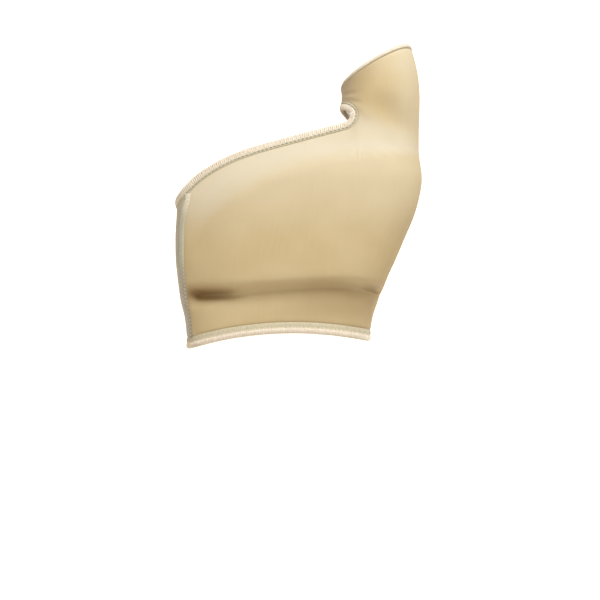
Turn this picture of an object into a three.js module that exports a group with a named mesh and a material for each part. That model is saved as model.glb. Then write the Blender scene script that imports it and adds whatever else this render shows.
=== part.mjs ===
// Bunion protector: a knitted elastic sleeve for the front half of a right foot, in its worn form.
// A wide tube goes round the ball of the foot and a narrow one round the big toe. The other four
// toes leave through a slanting opening, and a gel pad under the ball lies inside the sole wall.
//
// Millimetres. +Z runs along the foot to the toes, +X to the big-toe side and -Y out of the sole.
// The origin is the middle of the rear opening, where the foot goes in.

import * as THREE from 'three';

// Cloth and clearances
const wall = 1.2; // thickness of the doubled knit
const gap = 0.3; // between pieces that touch
const turnGap = 0.42; // from the cloth to the hem that turns round the web
const padGap = 1.1; // between the pad and the wall that carries it

// Rear opening
const rearWidth = 75.6;
const rearDepth = 60;
const rearArch = 4.8; // rise of the hem in the middle of sole and instep, above its sides
const rearTilt = 3; // rise of the hem at the big-toe side, above the little-toe side

// Ball of the foot
const ballWidth = 101.6;
const ballShift = 7.8; // from the axis to the middle of the ball
const ballHeight = 70.4; // level of the widest place
const ballDepth = 42;
const soleStep = 2; // how far the ball stands out below the rear of the sole

// Root of the toes
const rootRise = 7; // how far the sole draws in from the ball to the root of the toes
const rootDepth = 26;

// Web between the big toe and the next, where the toe opening turns back on itself
const webHeight = 96.4;
const webShift = 25.3; // from the axis to the middle of the turn
const webRadius = 6.6;
const webBlend = 9; // width over which the foot's edge takes the form of the toe
const instepDrop = 3; // how far the opening lies lower on the instep

// Toe opening: a slant that falls away in a shoulder at the little-toe side
const openingSlope = 0.262;
const shoulderDrop = 15;
const shoulderPower = 5.5;

// Big-toe tube
const toeWidth = 32.4;
const toeDepth = 28;
const toeShift = 41.7; // from the axis to the middle of the toe
const toeLevel = -15; // Y of the toe's middle
const toeLength = 30.2; // from the web's middle to the tip of the tube
const toeTopHeight = 116.4; // level of the tube's end in the middle of the toe
const toeTopRise = 0.6; // rise of the tube's end for each millimetre to the big-toe side
const toeTopFall = 0.34; // fall of the tube's end for each millimetre to the nail

// Line where the toe tube joins the ball, and the dent along it
const joinInner = 84; // level of the line at the big-toe side
const joinBlend = 15; // length over which ball turns into toe, below the line
const valleyDepth = 3.4;
const valleyWidth = 6;
const valleyReach = 8; // from the web to where the dent is full

// Ball pad, and the crease along its rear edge
const creaseHeight = 25.4;
const creaseSag = 3.2; // how much lower the crease lies at the sides
const creaseDepth = 1.7;
const creaseEndDepth = 1.5; // added at both ends
const creaseWidth = 2.4;
const creaseFade = 0.14; // share of the sole in which it fades at the big-toe side
const padHeight = 58; // from the crease to the pad's highest place
const padInner = 57; // from the axis to where the top edge is highest
const padSpan = 94; // from there to the pad's end at the little-toe side
const padInset = 5; // how far the pad itself ends inside that, at the little-toe side
const padThickness = 3.4;
const padRim = 0.8; // thickness left at the pad's edge
const padSideShare = 0.22; // share of its thickness that shows outside at the big-toe side
const padWrap = 0.2; // share of the instep that the pad reaches round the big-toe side
const padSideRadius = 5; // roundness beside the seam
const padFootRadius = 6; // roundness of the pad's rear edge
const padTopRadius = 7; // roundness of its top edge

// Hems
const rearHemWidth = 4.4;
const openingHemWidth = 3.2;
const toeHemWidth = 1.5;
const hemProud = 0.5; // how far a stitched hem stands proud of the cloth on each side
const toeHemProud = 0.2;
const hemPinch = 1.7; // how far the elastic opening hem draws the cloth in
const pinchLength = 6.5;

// Side seam, down the little-toe side
const seamInset = 3; // from the sleeve's side, seen from the sole
const seamTurn = 2.2; // added at the toe opening
const seamTurnLength = 8;
const seamRearTurn = 1; // taken away at the rear opening
const seamRearLength = 25;
const seamWidth = 1.8;
const seamHeight = 0.9;
const seamLift = 0.7; // clear of the cloth

// Fineness of the faceted surfaces
const soleColumns = 20; // from the little-toe side to the web
const toeColumns = 10; // from the web to the big-toe side
const turnColumns = 4; // of those, round the turn of the web
const webColumns = 6; // from the web to the side of the big toe
const bandRows = 6; // rear opening to crease
const ballRows = 15; // crease to opening
const tubeRows = 8; // along the toe tube
const padColumns = 22;
const padRows = 14;
const seamRows = 24;
const arcSteps = 48; // fine steps along half a section

// Sections of the foot tube, a row for each level. at: 0 rear opening, 1 ball, 2 web. outer, inner,
// sole and instep: 0 as the rear opening, 1 as the ball. root: 1 as the root of the toes.
// outerSide, innerSide: level of the side as a share of the section's depth. ridge: how far the
// highest place of the instep leans to the big-toe side.
const footSections = [
  { at: -0.05, outer: 0.05, inner: -0.04, sole: 0.0, instep: -0.03, root: 0.0, outerSide: 0.36, innerSide: 0.5, ridge: 0.12 },
  { at: 0.17, outer: 0.3, inner: 0.035, sole: 0.05, instep: 0.14, root: 0.0, outerSide: 0.35, innerSide: 0.49, ridge: 0.15 },
  { at: 0.28, outer: 0.63, inner: 0.15, sole: 0.16, instep: 0.26, root: 0.0, outerSide: 0.34, innerSide: 0.48, ridge: 0.18 },
  { at: 0.41, outer: 0.85, inner: 0.285, sole: 0.4, instep: 0.39, root: 0.0, outerSide: 0.34, innerSide: 0.47, ridge: 0.22 },
  { at: 0.52, outer: 0.98, inner: 0.455, sole: 0.7, instep: 0.53, root: 0.0, outerSide: 0.33, innerSide: 0.46, ridge: 0.27 },
  { at: 0.65, outer: 1.0, inner: 0.645, sole: 0.92, instep: 0.66, root: 0.0, outerSide: 0.32, innerSide: 0.45, ridge: 0.32 },
  { at: 0.77, outer: 1.0, inner: 0.82, sole: 1.0, instep: 0.78, root: 0.0, outerSide: 0.31, innerSide: 0.44, ridge: 0.36 },
  { at: 0.88, outer: 1.0, inner: 0.925, sole: 1.0, instep: 0.89, root: 0.02, outerSide: 0.3, innerSide: 0.43, ridge: 0.4 },
  { at: 1.0, outer: 1.0, inner: 0.98, sole: 1.0, instep: 1.0, root: 0.1, outerSide: 0.3, innerSide: 0.42, ridge: 0.42 },
  { at: 1.32, outer: 0.98, inner: 0.96, sole: 1.0, instep: 1.0, root: 0.38, outerSide: 0.31, innerSide: 0.42, ridge: 0.43 },
  { at: 1.55, outer: 0.97, inner: 0.93, sole: 1.0, instep: 1.0, root: 0.62, outerSide: 0.33, innerSide: 0.42, ridge: 0.43 },
  { at: 2.05, outer: 0.97, inner: 1.0, sole: 1.0, instep: 1.0, root: 1.0, outerSide: 0.35, innerSide: 0.42, ridge: 0.43 },
];

// Sections of the toe tube. at: 0 web, 1 tip of the tube. outer, inner: share of half the width.
// sole, top: share of half the depth.
const toeSections = [
  { at: -0.7, outer: 1.0, inner: 0.97, sole: 1.0, top: 1.1 },
  { at: -0.2, outer: 1.0, inner: 0.98, sole: 0.97, top: 1.05 },
  { at: 0.1, outer: 1.0, inner: 1.0, sole: 0.97, top: 1.02 },
  { at: 0.32, outer: 1.0, inner: 1.0, sole: 1.0, top: 0.98 },
  { at: 0.56, outer: 1.03, inner: 0.955, sole: 0.99, top: 0.9 },
  { at: 0.76, outer: 1.05, inner: 0.87, sole: 0.96, top: 0.82 },
  { at: 0.9, outer: 1.06, inner: 0.79, sole: 0.91, top: 0.76 },
  { at: 1.1, outer: 1.08, inner: 0.62, sole: 0.82, top: 0.68 },
];

// Roundness of the sections: 2 is an ellipse, more is squarer
const squareness = { sole: 2.8, instep: 2.1, toe: 2.25 };

const mix = (a, b, t) => a + (b - a) * t;
const clamp01 = (t) => Math.min(1, Math.max(0, t));
const smooth = (t) => clamp01(t) ** 2 * (3 - 2 * clamp01(t));
const hump = (d, width) => Math.exp(-((d / width) ** 2));

// Columns that crowd towards both ends, and towards the first
const crowded = (t) => mix(t, (1 - Math.cos(Math.PI * t)) / 2, 0.6);
const crowdedStart = (t) => mix(t, t * t, 0.5);

// Smooth value of one column of a table of sections
function lookUp(table, column, at) {
  const last = table.length - 1;
  const slope = (i) => {
    const a = table[Math.max(0, i - 1)];
    const b = table[Math.min(last, i + 1)];
    return (b[column] - a[column]) / (b.at - a.at);
  };
  let i = 0;
  while (i < last - 1 && at > table[i + 1].at) i += 1;
  const step = table[i + 1].at - table[i].at;
  const t = clamp01((at - table[i].at) / step);
  return (
    (1 + 2 * t) * (1 - t) ** 2 * table[i][column] +
    t * (1 - t) ** 2 * step * slope(i) +
    t * t * (3 - 2 * t) * table[i + 1][column] -
    t * t * (1 - t) * step * slope(i + 1)
  );
}

const ballSole = -rearDepth / 2 - soleStep;
const rootSole = ballSole + rootRise;

// Extents of the foot tube at a level
function footSection(z) {
  const at = z < ballHeight ? z / ballHeight : 1 + (z - ballHeight) / (webHeight - ballHeight);
  const share = (column) => lookUp(footSections, column, at);
  const outer = mix(-rearWidth / 2, ballShift - ballWidth / 2, share('outer'));
  const inner = mix(rearWidth / 2, ballShift + ballWidth / 2, share('inner'));
  const sole = mix(mix(-rearDepth / 2, ballSole, share('sole')), rootSole, share('root'));
  const ballTop = mix(rearDepth / 2, ballSole + ballDepth, share('instep'));
  const top = mix(ballTop, rootSole + rootDepth, share('root'));
  const outerSide = mix(sole, top, share('outerSide'));
  const innerSide = mix(sole, top, share('innerSide'));
  return { outer, inner, sole, top, outerSide, innerSide, ridge: share('ridge'), square: squareness };
}

// Extents of the toe tube at a level
function toeSection(z) {
  const share = (column) => lookUp(toeSections, column, (z - webHeight) / toeLength);
  return {
    outer: toeShift - (toeWidth / 2) * share('outer'),
    inner: toeShift + (toeWidth / 2) * share('inner'),
    sole: toeLevel - (toeDepth / 2) * share('sole'),
    top: toeLevel + (toeDepth / 2) * share('top'),
    outerSide: toeLevel,
    innerSide: toeLevel,
    ridge: 0,
    square: { sole: squareness.toe, instep: squareness.toe },
  };
}

// Half a section, from the little-toe side to the big-toe side, as points with their arc length
function halfSection(section, half) {
  const power = 2 / section.square[half];
  const far = half === 'sole' ? section.sole : section.top;
  const lean = half === 'sole' ? 0 : section.ridge;
  const points = [];
  let length = 0;
  for (let i = 0; i <= arcSteps; i += 1) {
    const angle = (Math.PI * i) / arcSteps;
    const cosine = -Math.cos(angle);
    const across = Math.sign(cosine) * Math.abs(cosine) ** power;
    const out = Math.sin(angle) ** power;
    const place = across + lean * (1 - across ** 2);
    const side = mix(section.outerSide, section.innerSide, (place + 1) / 2);
    const x = mix(section.outer, section.inner, (place + 1) / 2);
    const y = mix(side, far, out);
    if (i > 0) length += Math.hypot(x - points[i - 1].x, y - points[i - 1].y);
    points.push({ x, y, length });
  }
  return points;
}

// Point and outward direction at a share of half a section's length
function alongHalf(points, share, half) {
  const wanted = clamp01(share) * points[arcSteps].length;
  let i = 1;
  while (i < arcSteps && points[i].length < wanted) i += 1;
  const a = points[i - 1];
  const b = points[i];
  const t = (wanted - a.length) / (b.length - a.length || 1);
  const before = points[Math.max(0, i - 2)];
  const after = points[Math.min(arcSteps, i + 1)];
  const away = half === 'sole' ? 1 : -1;
  const out = new THREE.Vector2((after.y - before.y) * away, -(after.x - before.x) * away).normalize();
  return { x: mix(a.x, b.x, t), y: mix(a.y, b.y, t), out };
}

// Share of half a section's length at which it passes a distance from the axis
function shareAt(points, x) {
  let i = 1;
  while (i < arcSteps && points[i].x < x) i += 1;
  const t = (x - points[i - 1].x) / (points[i].x - points[i - 1].x);
  return mix(points[i - 1].length, points[i].length, t) / points[arcSteps].length;
}

// Where the columns of foot and toe meet at the web, on each half, and where the turn starts
const webEdge = webShift + webRadius;
const webLevel = { sole: webHeight, instep: webHeight - instepDrop };
const turnStart = Math.atan(openingSlope);
const footWeb = {};
const footTurn = {};
const toeWeb = {};
for (const half of ['sole', 'instep']) {
  const foot = halfSection(footSection(webLevel[half]), half);
  footWeb[half] = shareAt(foot, webEdge);
  footTurn[half] = (angle) => shareAt(foot, webShift + webRadius * Math.sin(angle));
  toeWeb[half] = shareAt(halfSection(toeSection(webLevel[half]), half), webEdge);
}

// Column of the cloth at a share of the foot's half section
function columnAt(half, foot) {
  const beyond = (foot - footWeb[half]) / (1 - footWeb[half]);
  return { half, foot, toe: beyond < 0 ? null : mix(toeWeb[half], 1, beyond) };
}

// Levels of the lines that the surface is built between, as functions of the place across
function rearLevel(x) {
  const across = Math.max(-1, Math.min(1, x / (rearWidth / 2)));
  return rearArch * (1 - across ** 2) + (rearTilt * (1 + across)) / 2 + rearHemWidth + gap;
}

function creaseLevel(x) {
  const across = (x - ballShift) / (rearWidth / 2);
  return creaseHeight - creaseSag * Math.min(1, across ** 2);
}

function openingLevel(x, half) {
  const touch = webShift + webRadius * Math.sin(turnStart);
  if (x > touch) {
    const beside = Math.min(webRadius, x - webShift);
    return webLevel[half] - Math.sqrt(webRadius ** 2 - beside ** 2);
  }
  const outerEdge = ballShift - ballWidth / 2;
  const share = Math.max(0, (touch - x) / (touch - outerEdge));
  const start = webLevel[half] - webRadius * Math.cos(turnStart);
  const drop = instepDrop * (webLevel.sole - webLevel[half] > 0 ? 1 - smooth(share) : 0);
  const level = start - openingSlope * (touch - x) - shoulderDrop * share ** shoulderPower;
  return half === 'sole' ? level : level + instepDrop - drop;
}

function joinLevel(x, half) {
  const innerEdge = ballShift + ballWidth / 2;
  return mix(webLevel[half], joinInner, clamp01((x - webEdge) / (innerEdge - webEdge)));
}

function toeTopLevel(x, y) {
  return toeTopHeight + toeTopRise * (x - toeShift) - toeTopFall * (y - toeLevel) - toeHemWidth - gap;
}

// Level of the pad's top edge
function padTopLevel(x) {
  const share = clamp01((padInner - x) / padSpan);
  return creaseLevel(x) + padHeight * (1 - share ** 2) ** 0.29;
}

// How far round the pad reaches, 1 on the sole and fading beyond the big-toe side
function padReach(column) {
  if (column.half === 'sole') return mix(1, padSideShare, smooth((column.foot - 0.78) / 0.2));
  return padSideShare * smooth(1 - (1 - column.foot) / padWrap);
}

// How far a place on the sole is past the side seam, 0 on the seam and 1 beyond a width
function pastSeam(x, z, width) {
  return smooth((x - footSection(z).outer - seamInset - seamWidth) / width);
}

// Thickness of the pad at a place on the foot tube
function padAt(column, x, z) {
  const fromFoot = clamp01((z - creaseLevel(x)) / padFootRadius);
  const fromTop = clamp01((padTopLevel(x) - z) / padTopRadius);
  const footShape = Math.sqrt(1 - (1 - fromFoot) ** 2);
  const fromSeam = pastSeam(x, z, padSideRadius);
  return padThickness * footShape * smooth(fromTop) * fromSeam * padReach(column);
}

// Outer surface of the cloth at a column and a level. A column has a half, a share of the foot's
// half section, a share of the toe's, or both where it runs from one into the other.
function clothPoint(column, z) {
  const { half, foot, toe } = column;
  const onFoot = foot === null ? null : alongHalf(halfSection(footSection(z), half), foot, half);
  const onToe = toe === null ? null : alongHalf(halfSection(toeSection(z), half), toe, half);
  let toToe = foot === null ? 1 : 0;
  if (onFoot && onToe) toToe = smooth(1 - (joinLevel(onFoot.x, half) - z) / joinBlend);
  const base = onFoot || onToe;
  const other = onToe || onFoot;
  let x = mix(base.x, other.x, toToe);
  let y = mix(base.y, other.y, toToe);
  const out = base.out.clone().lerp(other.out, toToe).normalize();
  if (toe === null && x > webEdge - webBlend) {
    const near = smooth(1 - (webEdge - x) / webBlend) * smooth(1 - (webLevel[half] - z) / joinBlend);
    const onWeb = alongHalf(halfSection(footSection(z), half), footWeb[half], half);
    const toeSide = alongHalf(halfSection(toeSection(z), half), toeWeb[half], half);
    x += near * (toeSide.x - onWeb.x);
    y += near * (toeSide.y - onWeb.y);
    out.lerp(toeSide.out, near / 2).normalize();
  }
  let lift = 0;
  if (foot !== null && half === 'sole') {
    const across = (x - ballShift) / (ballWidth / 2);
    const nearSole = pastSeam(x, z, padSideRadius) * smooth((1 - foot) / creaseFade);
    const crease = (creaseDepth + creaseEndDepth * across ** 4) * nearSole;
    lift -= crease * hump(z - creaseLevel(x), creaseWidth);
    const valley = valleyDepth * smooth((x - webEdge - 1) / valleyReach);
    lift -= valley * smooth((1 - foot) / 0.12) * hump(z - joinLevel(x, half), valleyWidth);
  }
  if (foot !== null) {
    const onBall = 1 - toToe;
    lift += padAt(column, x, z) * onBall;
    const below = openingLevel(Math.min(x, webShift), half) - z;
    const tight = hemPinch * smooth((webShift + webRadius - x) / (2 * webRadius));
    lift -= tight * hump(Math.max(0, below), pinchLength);
  }
  return new THREE.Vector3(x + out.x * lift, y + out.y * lift, z);
}

// Level at which a column crosses a line that is a function of the place
function crossing(column, line) {
  let z = webHeight;
  for (let i = 0; i < 8; i += 1) {
    const p = clothPoint(column, z);
    z = line(p.x, p.y);
  }
  return z;
}

// The columns, round the foot from the little-toe side along the sole, and round the web
function footColumns() {
  const columns = [];
  const add = (half, foot, toe, kind) => columns.push({ half, foot, toe, kind });
  const edgeColumns = soleColumns - turnColumns;
  for (let i = 0; i < edgeColumns; i += 1) {
    add('sole', footTurn.sole(turnStart) * crowdedStart(i / edgeColumns), null, 'open');
  }
  for (let i = 0; i < turnColumns; i += 1) {
    add('sole', footTurn.sole(mix(turnStart, Math.PI / 2, i / turnColumns)), null, 'open');
  }
  for (let i = 0; i <= toeColumns; i += 1) {
    const t = crowded(i / toeColumns);
    add('sole', mix(footWeb.sole, 1, t), mix(toeWeb.sole, 1, t), 'toe');
  }
  for (let i = 1; i <= toeColumns; i += 1) {
    const t = crowded(i / toeColumns);
    add('instep', mix(1, footWeb.instep, t), mix(1, toeWeb.instep, t), 'toe');
  }
  for (let i = 1; i <= turnColumns; i += 1) {
    add('instep', footTurn.instep(mix(Math.PI / 2, turnStart, i / turnColumns)), null, 'open');
  }
  for (let i = 1; i < edgeColumns; i += 1) {
    add('instep', footTurn.instep(turnStart) * crowdedStart(1 - i / edgeColumns), null, 'open');
  }
  return columns;
}

function webOnlyColumns() {
  const columns = [];
  for (let i = 1; i < 2 * webColumns; i += 1) {
    const angle = (Math.PI * i) / (2 * webColumns);
    const half = i < webColumns ? 'instep' : 'sole';
    columns.push({ half, foot: null, toe: toeWeb[half] * Math.abs(Math.cos(angle)), kind: 'web', angle });
  }
  return columns;
}

// Level where a column of the web starts, on the upper half of the turn
function webStart({ angle }) {
  const middle = mix(webLevel.instep, webLevel.sole, (1 - Math.cos(angle)) / 2);
  return middle + webRadius * Math.sin(angle);
}

// The sleeve's outer surface: points, and quads that face out
function sleeveSurface() {
  const points = [];
  const quads = [];
  const put = (p) => points.push(p) - 1;
  const foot = footColumns();
  const rows = [];
  for (const column of foot) {
    const start = crossing(column, rearLevel);
    const crease = crossing(column, creaseLevel);
    const endLine = column.kind === 'open' ? openingLevel : joinLevel;
    const end = crossing(column, (x) => endLine(x, column.half));
    const ids = [];
    for (let i = 0; i < bandRows; i += 1) {
      const t = 1 - (1 - i / bandRows) ** 1.6;
      ids.push(put(clothPoint(column, mix(start, crease, t))));
    }
    for (let i = 0; i <= ballRows; i += 1) {
      const t = (i / ballRows) ** 1.6;
      ids.push(put(clothPoint(column, mix(crease, end, t))));
    }
    column.end = end;
    rows.push(ids);
  }
  const joinStrips = (strips) => {
    strips.forEach((strip, c) => {
      const next = strips[(c + 1) % strips.length];
      for (let r = 0; r + 1 < strip.length; r += 1) {
        quads.push([strip[r], next[r], next[r + 1], strip[r + 1]]);
      }
    });
  };
  joinStrips(rows);

  const tube = [];
  foot.forEach((column, c) => {
    if (column.kind !== 'toe') return;
    tube.push({ column, start: column.end, first: rows[c][rows[c].length - 1] });
  });
  for (const column of webOnlyColumns()) tube.push({ column, start: webStart(column), first: null });
  const tubeStrips = tube.map(({ column, start, first }) => {
    const top = crossing(column, toeTopLevel);
    const ids = [first === null ? put(clothPoint(column, start)) : first];
    for (let i = 1; i <= tubeRows; i += 1) ids.push(put(clothPoint(column, mix(start, top, i / tubeRows))));
    return ids;
  });
  joinStrips(tubeStrips);
  return { points, quads };
}

// Outward normal at each point of a surface
function normalsOf({ points, quads }) {
  const normals = points.map(() => new THREE.Vector3());
  for (const quad of quads) {
    const [a, b, c, d] = quad.map((i) => points[i]);
    const normal = c.clone().sub(a).cross(d.clone().sub(b));
    for (const i of quad) normals[i].add(normal);
  }
  return normals.map((n) => n.normalize());
}

// The open edges of a surface, as loops of point numbers with the cloth on the left
function rimsOf(quads) {
  const next = new Map();
  const edges = new Set();
  for (const quad of quads) quad.forEach((a, i) => edges.add(`${a},${quad[(i + 1) % 4]}`));
  for (const edge of edges) {
    const [a, b] = edge.split(',').map(Number);
    if (!edges.has(`${b},${a}`)) next.set(a, b);
  }
  const loops = [];
  while (next.size) {
    const loop = [];
    let a = next.keys().next().value;
    while (next.has(a)) {
      loop.push(a);
      const b = next.get(a);
      next.delete(a);
      a = b;
    }
    loops.push(loop);
  }
  return loops;
}

function geometryFrom(points, faces) {
  const triangles = [];
  for (const face of faces) {
    for (let i = 1; i + 1 < face.length; i += 1) triangles.push(face[0], face[i], face[i + 1]);
  }
  const geometry = new THREE.BufferGeometry().setFromPoints(points);
  geometry.setIndex(triangles);
  geometry.computeVertexNormals();
  return geometry;
}

// Closed solid between two depths under a surface
function thicken(surface, near, far) {
  const { points, quads } = surface;
  const normals = normalsOf(surface);
  const count = points.length;
  const layer = (depth) => points.map((p, i) => p.clone().addScaledVector(normals[i], -depth(i)));
  const faces = quads.map((quad) => [...quad]);
  for (const [a, b, c, d] of quads) faces.push([a + count, d + count, c + count, b + count]);
  for (const rim of rimsOf(quads)) {
    rim.forEach((a, i) => {
      const b = rim[(i + 1) % rim.length];
      faces.push([b, a, a + count, b + count]);
    });
  }
  return geometryFrom([...layer(near), ...layer(far)], faces);
}

// Rounded profile of a hem or seam: across, and out from its middle
function roundProfile(width, height, corners) {
  return Array.from({ length: corners }, (_, i) => {
    const angle = (2 * Math.PI * (i + 0.5)) / corners;
    const soften = (v) => Math.sign(v) * Math.abs(v) ** 0.7;
    return { across: (width / 2) * soften(Math.cos(angle)), out: (height / 2) * soften(Math.sin(angle)) };
  });
}

// Solid swept along a path of frames {point, across, out}, closed on itself or capped
function sweep(frames, profile, closed) {
  const points = [];
  for (const frame of frames) {
    for (const corner of profile) {
      points.push(
        frame.point.clone().addScaledVector(frame.across, corner.across).addScaledVector(frame.out, corner.out),
      );
    }
  }
  const sides = profile.length;
  const faces = [];
  const spans = closed ? frames.length : frames.length - 1;
  for (let i = 0; i < spans; i += 1) {
    const here = i * sides;
    const there = ((i + 1) % frames.length) * sides;
    for (let k = 0; k < sides; k += 1) {
      const l = (k + 1) % sides;
      faces.push([here + k, there + k, there + l, here + l]);
    }
  }
  if (!closed) {
    const ring = [...Array(sides).keys()];
    faces.push(ring);
    faces.push(ring.map((k) => (frames.length - 1) * sides + k).reverse());
  }
  return geometryFrom(points, faces);
}

// Hem round one rim of the sleeve, edge to edge with the cloth
function hemGeometry(surface, normals, rim, { width, proud, clear, corners }) {
  const frames = rim.map((id, i) => {
    const before = surface.points[rim[(i + rim.length - 1) % rim.length]];
    const after = surface.points[rim[(i + 1) % rim.length]];
    const along = after.clone().sub(before).normalize();
    const across = along.clone().cross(normals[id]).normalize();
    const out = across.clone().cross(along).normalize();
    const point = surface.points[id].clone();
    point.addScaledVector(across, clear + width / 2).addScaledVector(out, -wall / 2);
    return { point, across, out };
  });
  return sweep(frames, roundProfile(width, wall + 2 * proud, corners), true);
}

// The pad's outer surface before it is sunk under the cloth
function padSurface() {
  const points = [];
  const quads = [];
  const cornerEase = 0.04;
  const start = shareAt(halfSection(footSection(ballHeight / 2), 'sole'), padInner - padSpan + padInset);
  const total = 1 - start + padWrap * 0.75;
  for (let c = 0; c <= padColumns; c += 1) {
    const share = start + total * (c / padColumns);
    const half = share <= 1 ? 'sole' : 'instep';
    const foot = share <= 1 ? share : 2 - share;
    const column = columnAt(half, foot);
    const middle = clothPoint(column, ballHeight / 2);
    const low = creaseLevel(middle.x) + 1.6 * creaseWidth + cornerEase * padHeight * hump(c, 1.2);
    const high = crossing(column, padTopLevel) - creaseWidth;
    for (let r = 0; r <= padRows; r += 1) {
      points.push(clothPoint(column, mix(low, high, r / padRows)));
      if (c === padColumns || r === padRows) continue;
      const id = points.length - 1;
      quads.push([id, id + padRows + 1, id + padRows + 2, id + 1]);
    }
  }
  return { points, quads };
}

// Ball pad: full in the middle, thin at the edge
function padGeometry() {
  const surface = padSurface();
  const near = wall + padGap;
  const rows = padRows + 1;
  const far = (i) => {
    const across = Math.floor(i / rows) / padColumns;
    const along = (i % rows) / padRows;
    const rise = smooth(Math.min(across, 1 - across) / 0.18) * smooth(Math.min(along, 1 - along) / 0.22);
    return near + padRim + (padThickness - padRim) * rise;
  };
  return thicken(surface, () => near, far);
}

// Side seam: a raised strip from the rear hem to the toe opening's hem
function seamGeometry() {
  const frames = [];
  const outerEdge = ballShift - ballWidth / 2;
  const low = rearLevel(-rearWidth / 2) + 0.4;
  const high = openingLevel(outerEdge + seamInset + seamTurn, 'sole') - 0.4;
  const shareOf = (z) => {
    const section = footSection(z);
    const turn = seamTurn * hump(high - z, seamTurnLength) - seamRearTurn * hump(z, seamRearLength);
    const inset = seamInset + turn;
    return shareAt(halfSection(section, 'sole'), section.outer + inset);
  };
  const on = (t, aside) => {
    const z = mix(low, high, t);
    return clothPoint({ half: 'sole', foot: shareOf(z) + aside, toe: null }, z);
  };
  const at = (t) => on(t, 0);
  const beside = (t) => on(t, 0.01);
  for (let i = 0; i <= seamRows; i += 1) {
    const t = i / seamRows;
    const along = at(Math.min(1, t + 0.02)).sub(at(Math.max(0, t - 0.02))).normalize();
    const across = beside(t).sub(at(t)).normalize();
    const out = across.clone().cross(along).normalize();
    across.copy(along).cross(out);
    frames.push({ point: at(t).addScaledVector(out, seamLift + seamHeight / 2), across, out });
  }
  return sweep(frames, roundProfile(seamWidth, seamHeight, 6), false);
}

const knit = new THREE.MeshStandardMaterial({ color: '#d8c49d', roughness: 0.85, metalness: 0 });
const thread = new THREE.MeshStandardMaterial({ color: '#ece0c6', roughness: 0.9, metalness: 0 });
const gel = new THREE.MeshStandardMaterial({ color: '#dccdb0', roughness: 0.45, metalness: 0 });

function named(name, geometry, material) {
  const mesh = new THREE.Mesh(geometry, material);
  mesh.name = name;
  return mesh;
}

const cloth = sleeveSurface();
const clothNormals = normalsOf(cloth);
const meanLevel = (rim) => rim.reduce((sum, i) => sum + cloth.points[i].z, 0) / rim.length;
const [rearRim, openingRim, toeRim] = rimsOf(cloth.quads).sort((a, b) => meanLevel(a) - meanLevel(b));
const rearHem = { width: rearHemWidth, proud: hemProud, clear: gap, corners: 8 };
const openingHem = { width: openingHemWidth, proud: hemProud, clear: turnGap, corners: 8 };
const toeHem = { width: toeHemWidth, proud: toeHemProud, clear: gap, corners: 6 };
const hem = (rim, form) => hemGeometry(cloth, clothNormals, rim, form);

const protector = new THREE.Group();
protector.add(named('sleeve', thicken(cloth, () => 0, () => wall), knit));
protector.add(named('ball_pad', padGeometry(), gel));
protector.add(named('rear_hem', hem(rearRim, rearHem), thread));
protector.add(named('toe_opening_hem', hem(openingRim, openingHem), thread));
protector.add(named('big_toe_hem', hem(toeRim, toeHem), knit));
protector.add(named('side_seam', seamGeometry(), thread));

export default protector;
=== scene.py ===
import math

import bpy
import numpy as np
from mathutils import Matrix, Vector


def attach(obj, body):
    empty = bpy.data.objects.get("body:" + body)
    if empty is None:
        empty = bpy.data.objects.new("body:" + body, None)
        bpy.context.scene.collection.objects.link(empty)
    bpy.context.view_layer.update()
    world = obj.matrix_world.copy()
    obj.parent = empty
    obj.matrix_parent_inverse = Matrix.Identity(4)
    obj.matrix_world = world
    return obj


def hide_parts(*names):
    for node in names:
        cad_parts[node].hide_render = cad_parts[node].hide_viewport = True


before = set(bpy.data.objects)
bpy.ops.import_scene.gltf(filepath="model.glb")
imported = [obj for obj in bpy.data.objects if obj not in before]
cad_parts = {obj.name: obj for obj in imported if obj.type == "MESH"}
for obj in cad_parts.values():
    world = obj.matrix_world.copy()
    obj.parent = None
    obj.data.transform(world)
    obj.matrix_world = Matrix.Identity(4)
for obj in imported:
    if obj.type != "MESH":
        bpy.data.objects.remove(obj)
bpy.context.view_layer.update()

mm = 0.001
scene = bpy.context.scene

# the photograph looks square on to the sole
shot = {"x": 8.4, "z": 20.0, "away": 1000.0, "across": 252.0, "sensor": 36.0}


def addCamera():
    data = bpy.data.cameras.new("shotCamera")
    data.sensor_width = shot["sensor"]
    data.lens = shot["sensor"] * shot["away"] / shot["across"]
    data.clip_start = 0.05
    camera = bpy.data.objects.new("shotCamera", data)
    camera.location = Vector((shot["x"], -shot["away"], shot["z"])) * mm
    camera.rotation_euler = (math.pi / 2, 0, 0)
    scene.collection.objects.link(camera)
    scene.camera = camera


addCamera()
print("camera placed")


# small helpers, all of them on numpy arrays
def mix(a, b, t):
    return a + (b - a) * t


def smooth(t):
    t = np.clip(t, 0.0, 1.0)
    return t * t * (3 - 2 * t)


def grow(distance, pair):  # from 0 at the pair's first value to 1, over its second
    return smooth((distance - pair[0]) / pair[1])


def hump(distance, width):
    return np.exp(-(distance / width) ** 2)


def bend(v, power):
    return np.sign(v) * np.abs(v) ** power


def unit(v):
    return v / np.maximum(np.linalg.norm(v, axis=-1, keepdims=True), 1e-9)


def valuesAt(wanted, lengths, values):  # columns of values, read at places along a path
    return np.stack([np.interp(wanted, lengths, column) for column in values.T], axis=1)


def tableOf(columns, rows):
    return {name: np.array([row[i] for row in rows]) for i, name in enumerate(columns.split())}


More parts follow.
